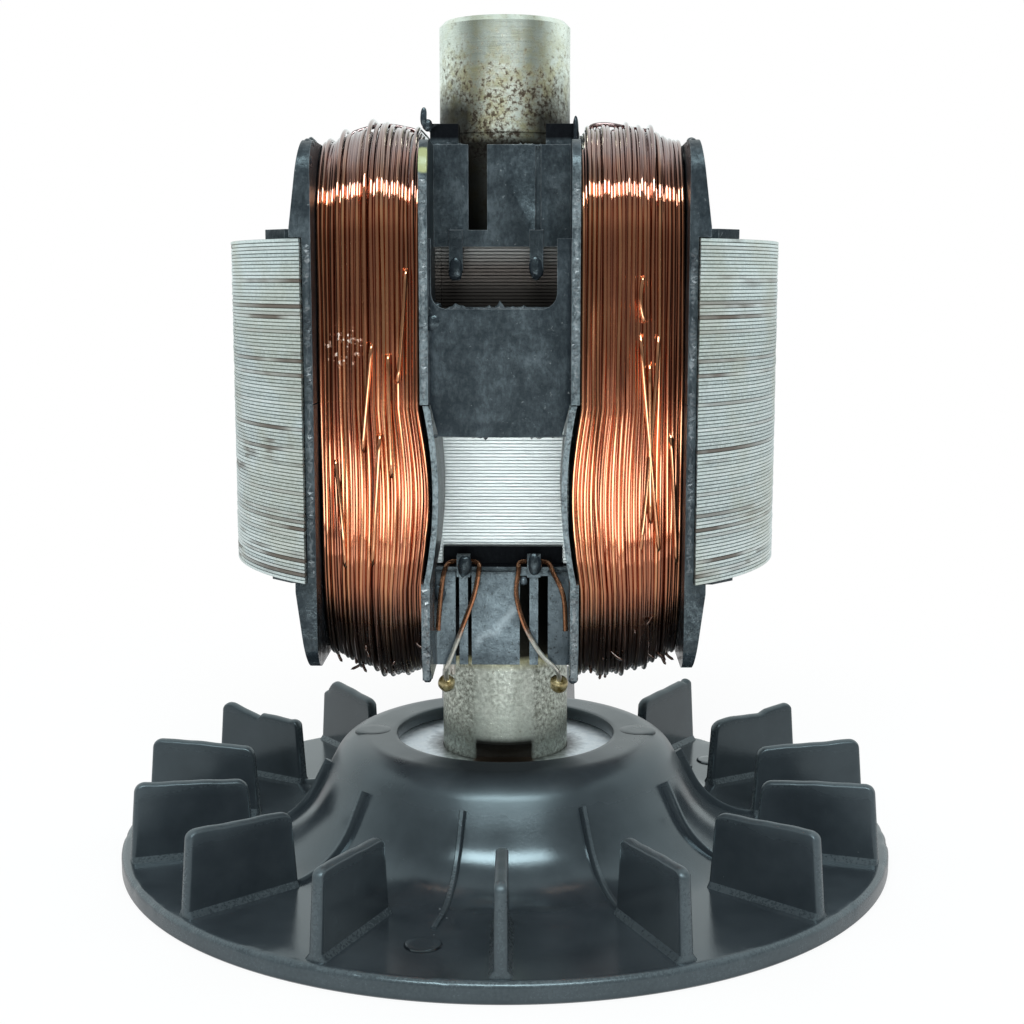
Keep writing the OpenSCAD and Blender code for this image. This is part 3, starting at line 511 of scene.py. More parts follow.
# melted drops on the hooks, the window, the tower's corners and the outer flanges: centre and radii
drops = {
    "upper": [
        (-6.7, -17.75, 92.4, 1.05, 0.5, 1.7), (5.0, -17.75, 92.6, 1.05, 0.5, 1.8),
        (-9.0, -29.45, 85.1, 1.6, 0.62, 1.3), (9.3, -27.5, 87.4, 0.7, 0.8, 0.7),
        (10.5, -16.7, 111.6, 0.5, 0.7, 2.6), (-8.9, -29.0, 87.3, 0.9, 0.5, 0.5),
        (-10.7, -16.9, 112.8, 0.7, 0.4, 0.9), (-11.3, -16.9, 114.0, 0.5, 0.3, 1.3),
        (-26.7, -25.5, 109.3, 0.8, 1.2, 1.0), (-26.8, -22.5, 110.0, 0.7, 1.4, 0.7),
        (-26.6, -28.3, 107.0, 0.8, 0.9, 1.3), (26.7, -25.0, 109.5, 0.8, 1.5, 0.8),
        (26.6, -28.0, 107.4, 0.8, 0.8, 1.2), (26.8, -21.0, 110.0, 0.7, 1.1, 0.7)],
    "lower": [
        (-5.65, -17.75, 48.7, 1.05, 0.55, 1.7), (4.75, -17.75, 48.9, 1.05, 0.55, 1.7),
        (-9.3, -18.0, 44.6, 0.9, 0.7, 1.5), (3.2, -17.3, 46.4, 0.6, 0.5, 0.6),
        (-10.4, -30.2, 35.0, 0.7, 0.6, 1.1), (10.4, -30.2, 34.6, 0.7, 0.6, 0.8)]}
for group, places in drops.items():
    points, faces = merged([lump(np.array(place[:3]) * [end, end, 1], place[3:], rng)
                            for place in places for end in (1, -1)])
    put_piece(group + "_insulator_drops", points, faces, insulator_plastic, "insulator_plastic",
              rubbed=np.ones(len(points)))

# Coils: enamelled copper wire wound round the two pole necks in many layers.
# The outer layer lies in even turns; a few strands cross over it, its ends are loose, and old varnish
# has gone black along its foot.

enamelled_copper, shader = start_finish("enamelled_copper", Metallic=1.0, Coat_Weight=1.0, Coat_Roughness=0.06)
place = place_mm(enamelled_copper)
_, _, z = parts(place)
own = point_value(enamelled_copper)
patches = grain(stretched(place, 1, 1, 0.35), 0.35, 3)
# painted shade on the layers under the outer turns and dark shreds of varnish, black varnish along the foot, a
# dulled top painted bluish as a reflection, and pale spots on the left coil as painted glints
uneven_z = plus(z, times(patches, 8))
deep, smoke = step(own, 0.0, -0.5), step(uneven_z, 52, 45)
# painted glints: pale, rough spots on the left coil
painted_glints = times(step(distance(place, (-21.8, -26.0, 81.5)), 3.6, 1.6), step(grain(place, 1.4, 2), 0.58, 0.63))
copper = layered(
    tint(plus(times(own, 0.6), times(patches, 0.4)),
         (0.2, (0.42, 0.150, 0.080)), (0.5, (0.60, 0.225, 0.105)), (0.85, (0.84, 0.42, 0.20))),
    # painted shade: the filling between the turns is laid near black; the shreds take it too as dark varnish
    (deep, 0.85, (0.05, 0.022, 0.014)),
    (smoke, 0.8, (0.035, 0.020, 0.014)),
    # painted reflection: the dulled top laid bluish grey, as the sky seen in the wire
    (step(uneven_z, 105, 113), 0.7, (0.19, 0.195, 0.22)),
    (painted_glints, 0.9, (0.95, 0.92, 0.85)))
polish = plus(step(patches, 0.3, 0.7, 0.06, 0.11), times(plus(smoke, deep), 0.2), times(painted_glints, 0.5))
wear(shader, copper, polish)

wire_d, wire_sides, turns, winding_in, winding_out = 0.64, 10, 21, 11.2, 25.95
winding_build, winding_fall, winding_peak = 12.4, 3.0, 0.24
corner_y, corner_high, corner_low, corner_r, soft_foot = 13.45, 97.1, 47.9, 2.5, 7.0
winding_w, winding_rise, winding_sag, run_stations = winding_out - winding_in, 0.8, 1.6, 34
shred_count, shred_r, shred_sides = 26, 0.24, 6


def loop_round():
    """Stations round a winding: the corner centre or straight place that each belongs to, the direction outward
    from it, and how far the outermost turns are slack there. The loop has four quarter turns and four runs."""
    high, low = corner_high, corner_low + soft_foot
    corners = np.array([[corner_y, high, winding_rise], [-corner_y, high, winding_rise],
                        [-corner_y, low, -winding_sag], [corner_y, low, -winding_sag]])
    runs = []
    for k in range(4):
        a, b = corners[k], corners[(k + 1) % 4]
        angle = np.linspace(0, 0.5 * math.pi, 17)[:-1] + 0.5 * math.pi * k
        runs.append(np.column_stack([np.tile(a[:2], (16, 1)), np.cos(angle), np.sin(angle), np.full(16, a[2])]))
        n = run_stations if k % 2 else run_stations // 2
        t = np.linspace(0, 1, n, endpoint=False)[:, None]
        line = a * (1 - t) + b * t
        angle = 0.5 * math.pi * (k + 1)
        out = np.tile([math.cos(angle), math.sin(angle)], (n, 1))
        runs.append(np.column_stack([line[:, :2], out, line[:, 2:]]))
    return np.concatenate(runs)


def build_at(share):
    """Depth of the winding at a share of its width: fullest near the inner flange, falling to the outer one."""
    return winding_build - winding_fall * ((share - winding_peak) / (1 - winding_peak)) ** 2


def ripples(rng, count, stations, waves, size):
    """A closed random ripple for each of several wires: a sum of sine waves with chance phases."""
    s = np.linspace(0, 2 * math.pi, stations, endpoint=False)
    k = np.arange(1, waves + 1)
    phase = rng.uniform(0, 2 * math.pi, (count, waves, 1))
    height = rng.normal(0, 1, (count, waves, 1)) / np.sqrt(k)[None, :, None]
    return size * (height * np.sin(k[None, :, None] * s[None, None] + phase)).sum(1)


def wires(paths, radius, sides, closed=True, across=(1.0, 0, 0)):
    """Round wires: each path point plus the radius times a circle across the path's direction, which nowhere runs
    along the across direction. An open wire shrinks to a point at its two ends."""
    if closed:
        ahead = np.roll(paths, -1, 1) - np.roll(paths, 1, 1)
        thick = np.full(paths.shape[1], radius)
    else:
        ahead = np.gradient(paths, axis=1)
        t = np.linspace(0, 1, paths.shape[1])
        thick = radius * np.sqrt(1 - held(1 - np.minimum(t, 1 - t) / 0.04) ** 2)
    ahead /= np.linalg.norm(ahead, axis=-1, keepdims=True)
    u = np.cross(ahead, across)
    u /= np.linalg.norm(u, axis=-1, keepdims=True)
    v = np.cross(ahead, u)
    turn = 2 * math.pi * np.arange(sides) / sides
    ring = np.cos(turn)[:, None] * u[:, :, None] + np.sin(turn)[:, None] * v[:, :, None]
    points = paths[:, :, None] + thick[None, :, None, None] * ring
    count, stations = paths.shape[:2]
    one = grid_faces(stations, sides, closed, True)
    faces = (one[None] + (np.arange(count) * stations * sides)[:, None, None]).reshape(-1, 4)
    return points.reshape(-1, 3), faces


def winding(rng):
    """The wires of a coil on the right pole: an under layer and the outer layer. Each wire keeps a place across
    the winding and a depth at every station of the loop; the depth wanders most along the loose foot."""
    loop = loop_round()
    count = len(loop)
    y0, z0, oy, oz, slack = loop.T
    # the lower front and back of the inner flange are bowed toward the shaft, and the turns lean with it
    height = z0 + oz * 12 + soft_foot * np.minimum(oz, 0)
    bow = np.sin(math.pi * held((height - 49) / 24.6)) * (np.abs(oy) > 0.9)
    loose = 1 + 3.5 * held((44 - height) / 8) + 1.2 * held((height - 104) / 5)
    along_front = held((height - 46) / 8) * held((94 - height) / 8)
    high = held((z0 - 62) / 35) ** 2
    low = held((66 - z0) / 11) ** 2
    sway = 0.012 * (z0 - 60) * np.exp(-((z0 - 60) / 14) ** 2) * (np.abs(oy) > 0.9)

    def paths(at, depth):
        """The wires' points; the turns at both sides of the winding sit lower at its top and higher at its foot."""
        share = held(at)
        depth = depth + sway * np.cos(2 * math.pi * share)
        r = corner_r + depth
        lift = slack * depth / winding_build + share * held(oz) ** 2
        crown = 3.4 * held(np.abs(share - 0.48) - 0.2) * (1 - 0.7 * held(oz))
        lift = lift + high * (rng.normal(0, 0.35, (len(at), 1)) - crown)
        hollow = 5.0 * held(np.abs(share - 0.42) - 0.2) - 0.4
        lift = lift + low * (rng.normal(0, 0.45, (len(at), 1)) + hollow) * (1 - 0.8 * held(-oz))
        across = winding_in + at * winding_w - 1.3 * bow * (1 - share) ** 1.5
        return np.stack([across, y0 + r * oy, z0 + r * oz + soft_foot * np.minimum(oz, 0) + lift], -1)

    at = (np.arange(turns) + 0.5)[:, None] / turns
    outer_at = at + (ripples(rng, turns, count, 7, 0.12) + rng.normal(0, 0.09, (turns, 1))) / turns
    wander = ripples(rng, turns, count, 6, 0.045) + rng.normal(0, 0.05, (turns, 1))
    outer_depth = build_at(at) - 0.5 * wire_d + loose * wander
    outer_depth = outer_depth + ripples(rng.spawn(1)[0], turns, count, 9, 0.09) * along_front
    under = (np.arange(turns - 1) + 1.0)[:, None] / turns
    under_at = under + ripples(rng, turns - 1, count, 6, 0.05) / turns
    under_depth = build_at(under) - 1.05 * wire_d + ripples(rng, turns - 1, count, 6, 0.03)
    groups = [paths(np.clip(outer_at, 0.45 / turns, 1 - 0.45 / turns), outer_depth), paths(under_at, under_depth)]
    own = np.concatenate([rng.uniform(0.25, 0.85, turns), np.full(turns - 1, 0.1)])
    points, faces = wires(np.concatenate(groups), 0.5 * wire_d, wire_sides)
    return points, faces, np.repeat(own, count * wire_sides)


def filling():
    """The layers under the outer wires, as one closed ring whose section follows the depth of the winding."""
    y0, z0, oy, oz, slack = (c[:, None] for c in loop_round().T)
    share = np.linspace(0, 1, 24)
    depth = np.concatenate([[0.0], build_at(share) - 1.3 * wire_d, [0.0]])
    px = np.concatenate([[winding_in], winding_in + share * winding_w, [winding_out]])
    r = corner_r + depth
    lift = soft_foot * np.minimum(oz, 0) + slack * depth / winding_build
    points = np.stack(np.broadcast_arrays(px, y0 + r * oy, z0 + r * oz + lift), -1)
    return points.reshape(-1, 3), grid_faces(len(y0), len(px), True, True)[:, ::-1]


def strands(ends, rng):
    """Strands that cross over the front of a winding from one place in X and Z to another, sunk among the turns
    at both ends."""
    a, b = np.asarray(ends, float)[:, None, :2], np.asarray(ends, float)[:, None, 2:]
    t = np.linspace(0, 1, 36)[None, :, None]
    flat = a * (1 - t) + b * t + np.sin(math.pi * t) * rng.normal(0, 0.22, (len(ends), 1, 2))
    share = held((flat[..., 0] - winding_in) / winding_w)
    depth = build_at(share) + wire_d * (0.35 - 1.5 * np.exp(-(np.minimum(t, 1 - t)[..., 0] / 0.05) ** 2))
    fall = held((corner_low + soft_foot - flat[..., 1]) / (corner_r + depth + soft_foot))
    front = -corner_y - (corner_r + depth) * np.sqrt(1 - fall ** 2)
    return wires(np.stack([flat[..., 0], front, flat[..., 1]], -1), 0.5 * wire_d, wire_sides, closed=False)


def top_strands(rng):
    """Two strands that lie across the top of a winding at its front and back, in waves over its turns."""
    t = np.linspace(0, 1, 40)[None]
    x = winding_in + 0.6 + t * np.array([[11.0], [12.5]])
    top = corner_high + corner_r + build_at((x - winding_in) / winding_w)
    sunk = 1.6 * np.exp(-(np.minimum(t, 1 - t) / 0.06) ** 2)
    z = top + 0.75 + 0.06 * (x - winding_in) + 0.22 * np.sin(7 * t + rng.uniform(0, 6, (2, 1))) - sunk
    y = np.array([[-13.6], [13.2]]) + 1.1 * np.sin(4 * t + rng.uniform(0, 6, (2, 1)))
    return wires(np.stack([x, y, z], -1), 0.5 * wire_d, wire_sides, closed=False, across=(0, 1.0, 0))


def shreds(rng):
    """Ends and shreds of varnish along the foot of a winding, front and back: short strands that hang out of
    the lowest turns."""
    t, one_each = np.linspace(0, 1, 9)[None, :], (shred_count, 1)
    share = rng.uniform(0.03, 0.97, one_each)
    angle = np.where(rng.uniform(0, 1, one_each) < 0.6, 1, -1) * rng.uniform(0.1, 1.0, one_each)
    depth = build_at(share) - 0.8 + t * rng.uniform(0.9, 1.9, one_each)
    lean = rng.normal(0, 0.9, one_each) * t ** 2
    r = corner_r + depth
    foot = corner_low + soft_foot - (r + soft_foot) * np.cos(angle) - winding_sag * depth / winding_build
    paths = np.stack([winding_in + 14.7 * share + lean, -corner_y * np.sign(angle) - r * np.sin(angle), foot], -1)
    return wires(paths, shred_r, shred_sides, closed=False)


# strands that cross over the turns: X and Z of their upper and lower ends, as on the right pole
crossings = {
    "left_coil": [
        (17.9, 82.6, 19.5, 66.4), (15.7, 81.2, 15.3, 62.8), (23.6, 66.2, 22.3, 49.5),
        (13.0, 93.0, 14.4, 76.0), (16.9, 70.0, 18.3, 50.0)],
    "right_coil": [
        (19.5, 84.0, 22.7, 51.5), (22.2, 84.0, 19.8, 51.5), (20.9, 80.0, 21.3, 56.0),
        (19.9, 91.5, 20.1, 84.8), (24.0, 70.0, 25.2, 50.0)]}
for name, side, seed in (("left_coil", -1, 11), ("right_coil", 1, 12)):
    rng = np.random.default_rng(seed)
    points, faces, own = winding(rng)
    more = [filling(), strands(crossings[name], rng), top_strands(rng), shreds(rng)]
    # the filling's tone of -0.5 marks it for painted shade; the shreds' -0.4 darkens them as varnish
    tones = [np.full(len(surface[0]), tone) for surface, tone in zip(more, (-0.5, 0.75, 0.1, -0.4))]
    points, faces = merged([(points, faces), *more])
    own = np.concatenate([own, *tones])
    if side < 0:
        points = points * [-1, 1, 1]
        faces = [face[::-1] for face in faces]
    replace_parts(put_piece(name + "_wire", points, faces, enamelled_copper, "enamelled_copper", rubbed=own), name)

# Leads: the ends of the coils' copper wire, scraped bare of their enamel.
# Each is bent by hand, looped behind a hook of the lower moulding and tinned where it is soldered.

lead_wire, shader = start_finish("lead_wire", Metallic=0.95)
place = place_mm(lead_wire)
_, _, z = parts(place)
fine = grain(place, 2.0, 3)
tinned = step(plus(z, times(fine, 3)), 41, 39)
colour = mixed(tinned, tint(fine, (0.3, (0.50, 0.20, 0.10)), (0.7, (0.72, 0.36, 0.20))), (0.94, 0.92, 0.82))
polish = plus(step(fine, 0.3, 0.7, 0.16, 0.28), times(tinned, 0.25))
wear(shader, colour, polish, fine, 0.004)
for node in ("left_front_lead", "right_front_lead", "left_rear_lead", "right_rear_lead"):
    dress(node, lead_wire)

# Solder beads: four drops of solder under old amber flux, one at the foot of each lead.
# They set as they were melted on, so no two are alike.

solder, shader = start_finish("solder", Metallic=0.6, Coat_Weight=0.6, Coat_Roughness=0.1)
fine = grain(place_mm(solder), 1.2, 3)
colour = tint(fine, (0.35, (0.22, 0.15, 0.04)), (0.65, (0.60, 0.50, 0.26)))
wear(shader, colour, step(fine, 0.3, 0.7, 0.2, 0.4), fine, 0.1)
rng = np.random.default_rng(23)
solder_x, solder_y, solder_z, solder_radii = 8.5, 15.0, 30.0, (1.38, 1.32, 1.4)
for node, side, end in (("left_front_solder", -1, -1), ("right_front_solder", 1, -1),
                        ("left_rear_solder", -1, 1), ("right_rear_solder", 1, 1)):
    points, faces = lump((side * solder_x, end * solder_y, solder_z), solder_radii, rng, 0.08)
    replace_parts(put_piece(node + "_drop", points, faces, solder, "solder"), node)

# Diodes: black moulded bodies with tinned wires, one for each coil.
# They stand upright in the corners of the lower tower, each over the solder bead of its own coil.

diode_body, shader = start_finish("diode_body", Roughness=0.3)
place = place_mm(diode_body)
_, _, z = parts(place)
fine = grain(place, 2.5, 3)
body = times(step(z, 34.3, 34.4), step(z, 41.5, 41.4))
colour = mixed(body, (0.6, 0.58, 0.52), (0.02, 0.02, 0.022))
wear(shader, colour, step(fine, 0.3, 0.7, 0.24, 0.4), fine, 0.02)
join(step(body, 0, 1, 0.9, 0.0), shader, "Metallic")
for node in ("left_diode", "right_diode"):
    dress(node, diode_body)

# Hub plate: a steel disc, punched and plated with zinc, with a key for the shaft's drive slot.
# The fan is moulded round its rim. Shade is painted near black round the shaft and at the plate's front, and the
# key is dark brown.

zinc_plate, shader = start_finish("zinc_plate", Metallic=1.0)
place = place_mm(zinc_plate)
x, y, _ = parts(place)
fine = grain(place, 1.0, 4)
key = times(step(unsigned(x), 5.0, 4.4), step(unsigned(y), 11.4, 10.6))
away = distance(stretched(place, 1, 1, 0), (0, 0, 0))
# painted shade: near black round the shaft and toward the plate's front
hub_shade = larger(step(minus(y, times(fine, 3)), -10.5, -13.0), step(plus(away, times(fine, 3)), 14.6, 11.8))
colour = layered(
    tint(fine, (0.3, (0.62, 0.68, 0.74)), (0.7, (0.86, 0.90, 0.93))),
    (hub_shade, 0.9, (0.030, 0.030, 0.030)),
    (key, 0.95, (0.16, 0.10, 0.065)))
wear(shader, colour, step(fine, 0.3, 0.7, 0.3, 0.45), fine, 0.02)
dress("hub_plate", zinc_plate)

# Fan: one black moulding, a bell on a disc with fifteen blades and ten ribs.
# It is moulded round the hub plate; round marks show where the tool pushed it out, and its blades
# are nicked and rubbed pale along their edges.

fan_plastic, shader = start_finish("fan_plastic", Specular_Tint=(0.76, 0.94, 1.0, 1.0))
place = place_mm(fan_plastic)
_, _, z = parts(place)
clouds = grain(place, 0.12, 4)
fine = grain(place, 2.2, 5, 0.65)
# rubbed pale along the edges, with a painted highlight on the blades' foot beads, and painted shade black round the
# marks
rubbed = point_value(fan_plastic)
scuff_and_highlight = times(larger(rubbed, 0.0), step(fine, 0.2, 0.75))
# painted shade on the front of the ring, and specks of dust, thickest at one place of the disc
hub_shade = distance(stretched(place, 0.6, 1, 1), (0, -19.0, 18.0))
hub_shade = step(plus(hub_shade, times(clouds, 3)), 10.0, 5.0)
flecks = step(distance(place, (-7.0, -41.0, 5.0)), 6.0, 2.0, 0.0, 0.09)
specks = step(plus(grain(place, 1.1, 6, 0.7), flecks), 0.70, 0.76)
colour = layered(
    tint(clouds, (0.3, (0.021, 0.026, 0.031)), (0.7, (0.038, 0.046, 0.053))),
    (scuff_and_highlight, 0.6, (0.10, 0.12, 0.13)),
    # painted shade: black round the ejector marks
    (step(rubbed, -0.2, -0.9), 0.9, (0.003, 0.003, 0.004)),
    (hub_shade, 0.7, (0.010, 0.011, 0.012)),
    (specks, 0.6, (0.30, 0.32, 0.33)))
join(step(hub_shade, 0, 1, 0.8, 0.15), shader, "Specular IOR Level")
polish = plus(step(clouds, 0.3, 0.7, 0.13, 0.22), times(plus(scuff_and_highlight, specks), 0.2), times(hub_shade, 0.5),
              step(z, 11.5, 14.5, 0.0, 0.13))
wear(shader, colour, polish, fine, 0.012)

hub_h, hole_r, ring_r, shoulder_r, bell_slope = 18.5, 17.5, 22.0, 6.0, math.radians(62)
disc_z, hollow_r, fan_wall, fan_r, rim_round, rim_band = 3.0, 12.5, 2.5, 61.2, 0.9, 4.0
pocket_r, pocket_top, pocket_foot, seat_r, seat_foot = 21.58, 16.48, 14.32, 23.5, 11.9
fan_turn, fan_sides, blade_count, rib_count, chip_count = math.radians(0.8), 360, 15, 10, 46


def arc(centre, radius, start, end, count):
    """Points on a circle in R and Z, at angles that run from straight up toward the outside."""
    a = np.linspace(start, end, count)
    return np.asarray(centre) + radius * np.stack([np.sin(a), np.cos(a)], -1)


def bell_line(sunk):
    """The bell's outside from its flat ring to the disc, sunk by some depth: a shoulder, a slope and a hollow."""
    out = np.array([math.sin(bell_slope), math.cos(bell_slope)])
    top = np.array([ring_r, hub_h - shoulder_r])
    end = top + shoulder_r * out
    hollow_z = disc_z + hollow_r
    run = (end[1] - hollow_z + hollow_r * out[1]) / math.tan(bell_slope)
    foot = np.array([end[0] + run + hollow_r * out[0], hollow_z])
    shoulder = arc(top, shoulder_r - sunk, 0, bell_slope, 16)
    hollow = arc(foot, -hollow_r - sunk, bell_slope, 0, 20)
    between = np.linspace(shoulder[-1], hollow[0], 8)[1:-1]
    return np.concatenate([shoulder, between, hollow])


def turned(line, rng):
    """A closed line in R and Z carried round the axis; chance chips draw its rim in and down."""
    turn = np.linspace(0, 2 * math.pi, fan_sides, endpoint=False)
    at = rng.uniform(0, 2 * math.pi, chip_count)
    size, width = rng.uniform(0.05, 0.3, chip_count), rng.uniform(0.008, 0.022, chip_count)
    apart = (turn[:, None] - at + math.pi) % (2 * math.pi) - math.pi
    chip = (size * np.exp(-(apart / width) ** 2)).sum(1)
    r, z = line[:, :1], line[:, 1:]
    share = held((r - 59.6) / 1.5) * (z > 1)
    r = r - 0.7 * share * chip
    z = np.broadcast_to(z, r.shape) - share * chip
    return np.stack([r * np.cos(turn), r * np.sin(turn), z], -1)


def turned_by(points, angle):
    """Points turned about the rotor's axis."""
    c, s = math.cos(angle), math.sin(angle)
    return points @ np.array([[c, s, 0], [-s, c, 0], [0, 0, 1]])


blade_in, blade_out, blade_h, blade_fall, blade_lean, blade_corner = 41.0, 60.0, 12.4, 1.0, 1.0, 1.6
blade_half, blade_draft, blade_edge, blade_stations, bead_half, bead_h = 1.0, 0.012, 0.55, 40, 1.6, 0.8


def blade_top(k, s, rng):
    """Height of a blade's top at each share from its inner to its outer end: a slight fall inward, rounded
    corners, a ripple, and the damage of the four blades at the back."""
    length = blade_out - blade_in - 2 * blade_lean
    top = blade_h - blade_fall * (1 - s)
    apart = np.minimum(np.minimum(s, 1 - s) * length, blade_corner)
    top = top - blade_corner + np.sqrt(blade_corner ** 2 - (blade_corner - apart) ** 2)
    wave = rng.uniform(0, 2 * math.pi, 3)
    top = top - 0.05 * (1 + np.sin(9 * s + wave[0])) - 0.03 * (1 + np.sin(23 * s + wave[1]))
    if k == 10:
        top = top - np.where(s > 0.5, 3.4 * held(0.87 - s), 0.5 * held((s - 0.02) / 0.1))
    if k == 9:
        top = top - 16 * np.clip(s - 0.80, 0, 0.14) - 0.6 * np.exp(-((s - 0.9) / 0.02) ** 2)
    if k == 6:
        top = top - 0.5 * np.exp(-((s - 0.88) / 0.035) ** 2)
    if k == 5:
        top = top - 0.5 * held((0.66 - s) / 0.05) + 0.25 * np.sin(7 * s)
    return top


def blade(k, rng):
    """A blade as shares along it by places round its section, from one foot over the top to the other. Its
    half thickness swells to a bead at the foot and rounds off at the top and at both ends."""
    s = (0.5 - 0.5 * np.cos(np.linspace(0, math.pi, blade_stations)))[:, None]
    top, edge = blade_top(k, s, rng), blade_edge
    body = np.linspace(0, 1, 7)[None]
    curl = np.sin(np.linspace(0, 0.5 * math.pi, 6))[1:][None]
    start = bead_h + 0.12
    h = np.concatenate([np.tile([-0.4, 0.0, bead_h], (blade_stations, 1)), start + (top - edge - start) * body,
                        top - edge + edge * curl], 1)
    half = blade_half - blade_draft * h + (bead_half - blade_half) * held(1 - h / bead_h)
    half = half * np.sqrt(held(1 - held((h - top + edge) / edge) ** 2))
    lean = blade_lean * np.clip(h, 0, None) / blade_h
    length = blade_out - blade_in - 2 * lean
    ends = held(np.minimum(s, 1 - s) * length / edge)
    half = half * np.sqrt(1 - (1 - ends) ** 2)
    r = blade_in + lean + s * length
    front = np.stack([half, -r, disc_z + h], -1)
    back = front[:, -2::-1] * [-1, 1, 1]
    edge_wear_and_foot_highlight = np.maximum(np.exp(-(top - h) / 0.35), np.exp(-np.minimum(s, 1 - s) * length / 0.35))
    # painted highlight: the whole foot bead is marked as rubbed, so it is laid pale
    edge_wear_and_foot_highlight = np.maximum(edge_wear_and_foot_highlight, 1.0 * (h <= bead_h))
    rubbed = np.concatenate([edge_wear_and_foot_highlight, edge_wear_and_foot_highlight[:, -2::-1]], 1)
    return np.concatenate([front, back], 1), rubbed


rib_start, rib_end, rib_sunk, rib_stations = 28.0, 45.0, -0.3, 26


def rib(angle):
    """A thin fin over the bell from its shoulder to the disc: a round-topped section that stands along the
    bell's normal, high at its upper end and low at its foot."""
    line = np.concatenate([bell_line(0), [[fan_r, disc_z]]])
    r = np.concatenate([[rib_start], np.linspace(rib_start, rib_end, rib_stations), [rib_end]])
    z = np.interp(r, line[:, 0], line[:, 1])
    at = np.linspace(rib_start - 0.1, rib_end + 0.1, rib_stations)
    slope = np.gradient(np.interp(at, line[:, 0], line[:, 1]), at)
    slope = np.concatenate([slope[:1], slope, slope[-1:]])
    normal = np.stack([-slope, np.ones(len(r))], -1) / np.sqrt(1 + slope ** 2)[:, None]
    high = 1.1 * (1 - np.linspace(0, 1, len(r))) ** 0.7 + 0.16
    side = np.array([-0.48, -0.38, -0.24, 0.24, 0.38, 0.48])
    rise = np.array([-1, 0.78, 1.0, 1.0, 0.78, -1])
    up = np.where(rise < 0, rib_sunk, rise * high[:, None])
    up[[0, -1]] = rib_sunk
    points = np.stack([np.broadcast_to(side, up.shape), -(r[:, None] + normal[:, :1] * up),
                       z[:, None] + normal[:, 1:] * up], -1)
    return turned_by(points, angle), np.broadcast_to(np.where(rise > 0.9, 0.6, 0.0), up.shape)


def skin(points):
    """A grid of points whose rows are rings, as a list of points and its faces."""
    return points.reshape(-1, 3), grid_faces(*points.shape[:2], round_columns=True)


mark_sides, ring_mark_r, disc_mark_r = 48, 21.4, 50.5


def mark(centre, radius, top, foot):
    """An ejector mark: a flat disc with a rounded edge, as rings that shrink to its middle."""
    turn = np.linspace(0, 2 * math.pi, mark_sides, endpoint=False)
    r = np.array([0, radius, radius, radius - 0.12, radius - 0.3, radius * 0.5, 0])
    z = np.array([foot, foot, top - 0.16, top - 0.06, top, top - 0.02, top - 0.02])
    flat = np.asarray(centre) + r[:, None, None] * np.stack([np.cos(turn), np.sin(turn)], -1)
    return np.concatenate([flat, np.broadcast_to(z[:, None, None], (len(z), mark_sides, 1))], -1)


rng = np.random.default_rng(31)
under = bell_line(fan_wall)[::-1]
under = under[under[:, 0] > seat_r]
fan_line = np.concatenate([
    [[hole_r, hub_h - 0.3], [hole_r + 0.09, hub_h - 0.09], [hole_r + 0.3, hub_h]],
    np.stack([np.linspace(hole_r + 0.9, ring_r - 0.3, 5), np.full(5, hub_h)], -1), bell_line(0),
    np.stack([np.linspace(42, fan_r - rim_round - 0.5, 8), np.full(8, disc_z)], -1),
    arc((fan_r - rim_round, disc_z - rim_round), rim_round, 0, 0.5 * math.pi, 8),
    [[fan_r, 0.9], [fan_r, 0.25], [fan_r - 0.25, 0], [fan_r - rim_band, 0], [fan_r - rim_band, disc_z - fan_wall]],
    under, [[seat_r, under[-1, 1]], [seat_r, seat_foot], [hole_r, seat_foot], [hole_r, pocket_foot],
            [pocket_r, pocket_foot], [pocket_r, pocket_top], [hole_r, pocket_top]]])
body = turned(fan_line, rng)
line_r, line_z = fan_line.T
worn = np.exp(-((line_r - 60.9) / 0.45) ** 2) * (line_z > 0.6)
worn = worn + 0.5 * np.exp(-((line_r - hole_r) / 0.3) ** 2) * (line_z > 17)
surfaces = [(body.reshape(-1, 3), grid_faces(len(fan_line), fan_sides, True, True)[:, ::-1])]
values = [np.repeat(worn, fan_sides)]
for k in range(blade_count):
    points, rubbed = blade(k, rng)
    surfaces.append(skin(turned_by(points, 2 * math.pi * k / blade_count + fan_turn)))
    values.append(rubbed.ravel())
for k in range(rib_count):
    points, rubbed = rib(2 * math.pi * k / rib_count - math.radians(12) + fan_turn)
    points, faces = skin(points)
    surfaces.append((points, faces[:, ::-1]))
    values.append(rubbed.ravel())
# two marks on the ring, and one on the disc between every third pair of blades
aside, ahead = ring_mark_r * math.cos(fan_turn), ring_mark_r * math.sin(fan_turn)
marks = [((side * aside, side * ahead), 3.0, hub_h + 0.05, 16.6) for side in (-1, 1)]
for k in range(0, blade_count, 3):
    angle = 2 * math.pi * (k - 0.5) / blade_count + fan_turn
    centre = (disc_mark_r * math.sin(angle), -disc_mark_r * math.cos(angle))
    marks.append((centre, 2.6, disc_z + 0.25, disc_z - 0.4))
for place in marks:
    surfaces.append(skin(mark(*place)))
    # the marks' outer rows hold -1, which paints shade round them
    values.append(np.repeat([-1, -1, -1, -1, 0, 0, 0], mark_sides))
fan = put_piece("fan_moulding", *merged(surfaces), fan_plastic, "fan_plastic", sharp=38,
                rubbed=np.concatenate(values))
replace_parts(fan, "fan")

# Stage: a white table from 2 m in front of the rotor to 6 m behind it, in a world that is white behind and
# at the sides and dim in front. A softbox hangs in front and above, and two low lights lie on the table
# in front. The camera sees table and world as plain white, but for a soft shade round the rotor.

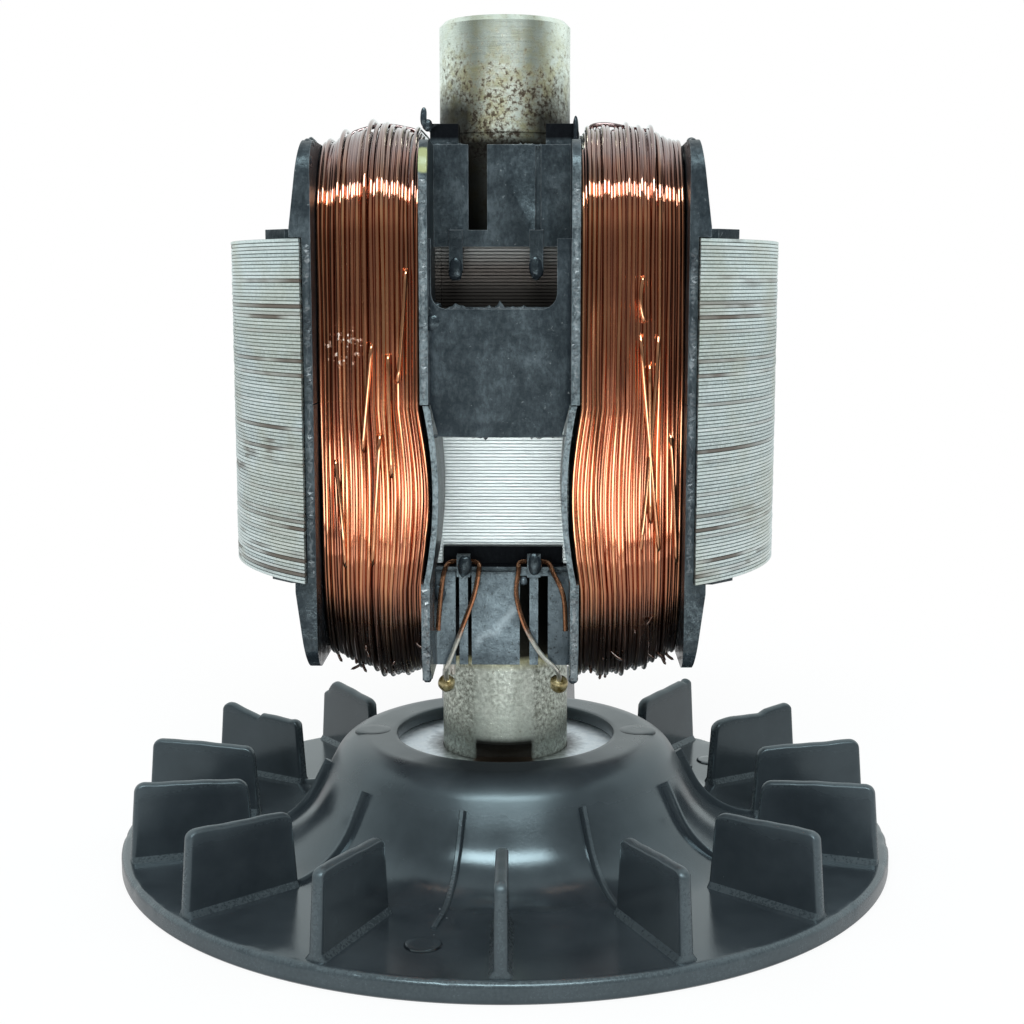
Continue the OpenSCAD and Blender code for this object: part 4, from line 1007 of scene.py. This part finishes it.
table, shader = start_finish("table", Base_Color=(0.9, 0.9, 0.9, 1), Roughness=0.9)
rays = add(table.node_tree, "LightPath", {}).node.outputs
away = distance(place_mm(table), (0, 0, 0))
far = step(away, 80, 210, 0.86, 1.0)
shown = larger(rays["Is Camera Ray"], step(away, 600, 1700, 0.7, 0.2))
white = add(table.node_tree, "Emission", {"Color": (1, 1, 1, 1), "Strength": shown})
share = larger(times(rays["Is Camera Ray"], far), rays["Is Glossy Ray"])
surface = add(table.node_tree, "MixShader", {0: share, 1: shader.outputs[0], 2: white})
join(surface, table.node_tree.nodes["Material Output"], 0)
mesh = bpy.data.meshes.new("table")
mesh.from_pydata([(-4, -2, 0), (4, -2, 0), (4, 6, 0), (-4, 6, 0)], [], [(0, 1, 2, 3)])
mesh.materials.append(table)
floor = shown_as("table", mesh)

room = bpy.data.worlds.new("room")
bpy.context.scene.world = room
room.use_nodes = True
background = room.node_tree.nodes["Background"]
_, y, z = parts(add(room.node_tree, "TexCoord", {}))
behind, in_front = step(y, -0.3, 0.2), step(z, 0.02, 0.25, 0.23, 0.4)
lit = plus(behind, times(step(behind, 0, 1, 1.0, 0.0), in_front))
rays = add(room.node_tree, "LightPath", {}).node.outputs
join(larger(lit, rays["Is Camera Ray"]), background, "Strength")
join(mixed(rays["Is Camera Ray"], (0.93, 1.0, 1.0), (1.0, 1.0, 1.0)), background, "Color")


def soft_lamp(name, size, watts, colour, spot, target):
    """A rectangular lamp at a spot that faces a target; both in metres. The camera doesn't see it."""
    lamp = bpy.data.lights.new(name, "AREA")
    lamp.shape = "RECTANGLE"
    lamp.size, lamp.size_y = size
    lamp.energy, lamp.color = watts, colour
    softbox = shown_as(name, lamp)
    way = mathutils.Vector(target) - mathutils.Vector(spot)
    softbox.location = spot
    softbox.rotation_euler = way.to_track_quat("-Z", "Y").to_euler()
    softbox.visible_camera = False


soft_lamp("softbox", (0.9, 0.28), 11.0, (0.90, 1.0, 1.03), (0, -0.80, 0.93), (0, 0, 0.06))
soft_lamp("table_light", (0.46, 0.28), 2.1, (0.97, 1.0, 1.0), (0, -0.49, 0.003), (0, -0.49, 1.0))
soft_lamp("near_light", (0.06, 0.11), 0.05, (0.93, 1.0, 1.03), (0, -0.22, 0.003), (0, -0.22, 1.0))

lens = bpy.data.cameras.new("camera")
lens.lens, lens.sensor_width = 56.50, 36.0
lens.clip_start = 0.01
camera = shown_as("camera", lens)
camera.location = (0.00617, -0.25329, 0.09115)
camera.rotation_euler = (math.radians(90 - 8.29), 0, math.radians(1.15))
bpy.context.scene.camera = camera
bpy.context.scene.view_settings.view_transform = "Standard"
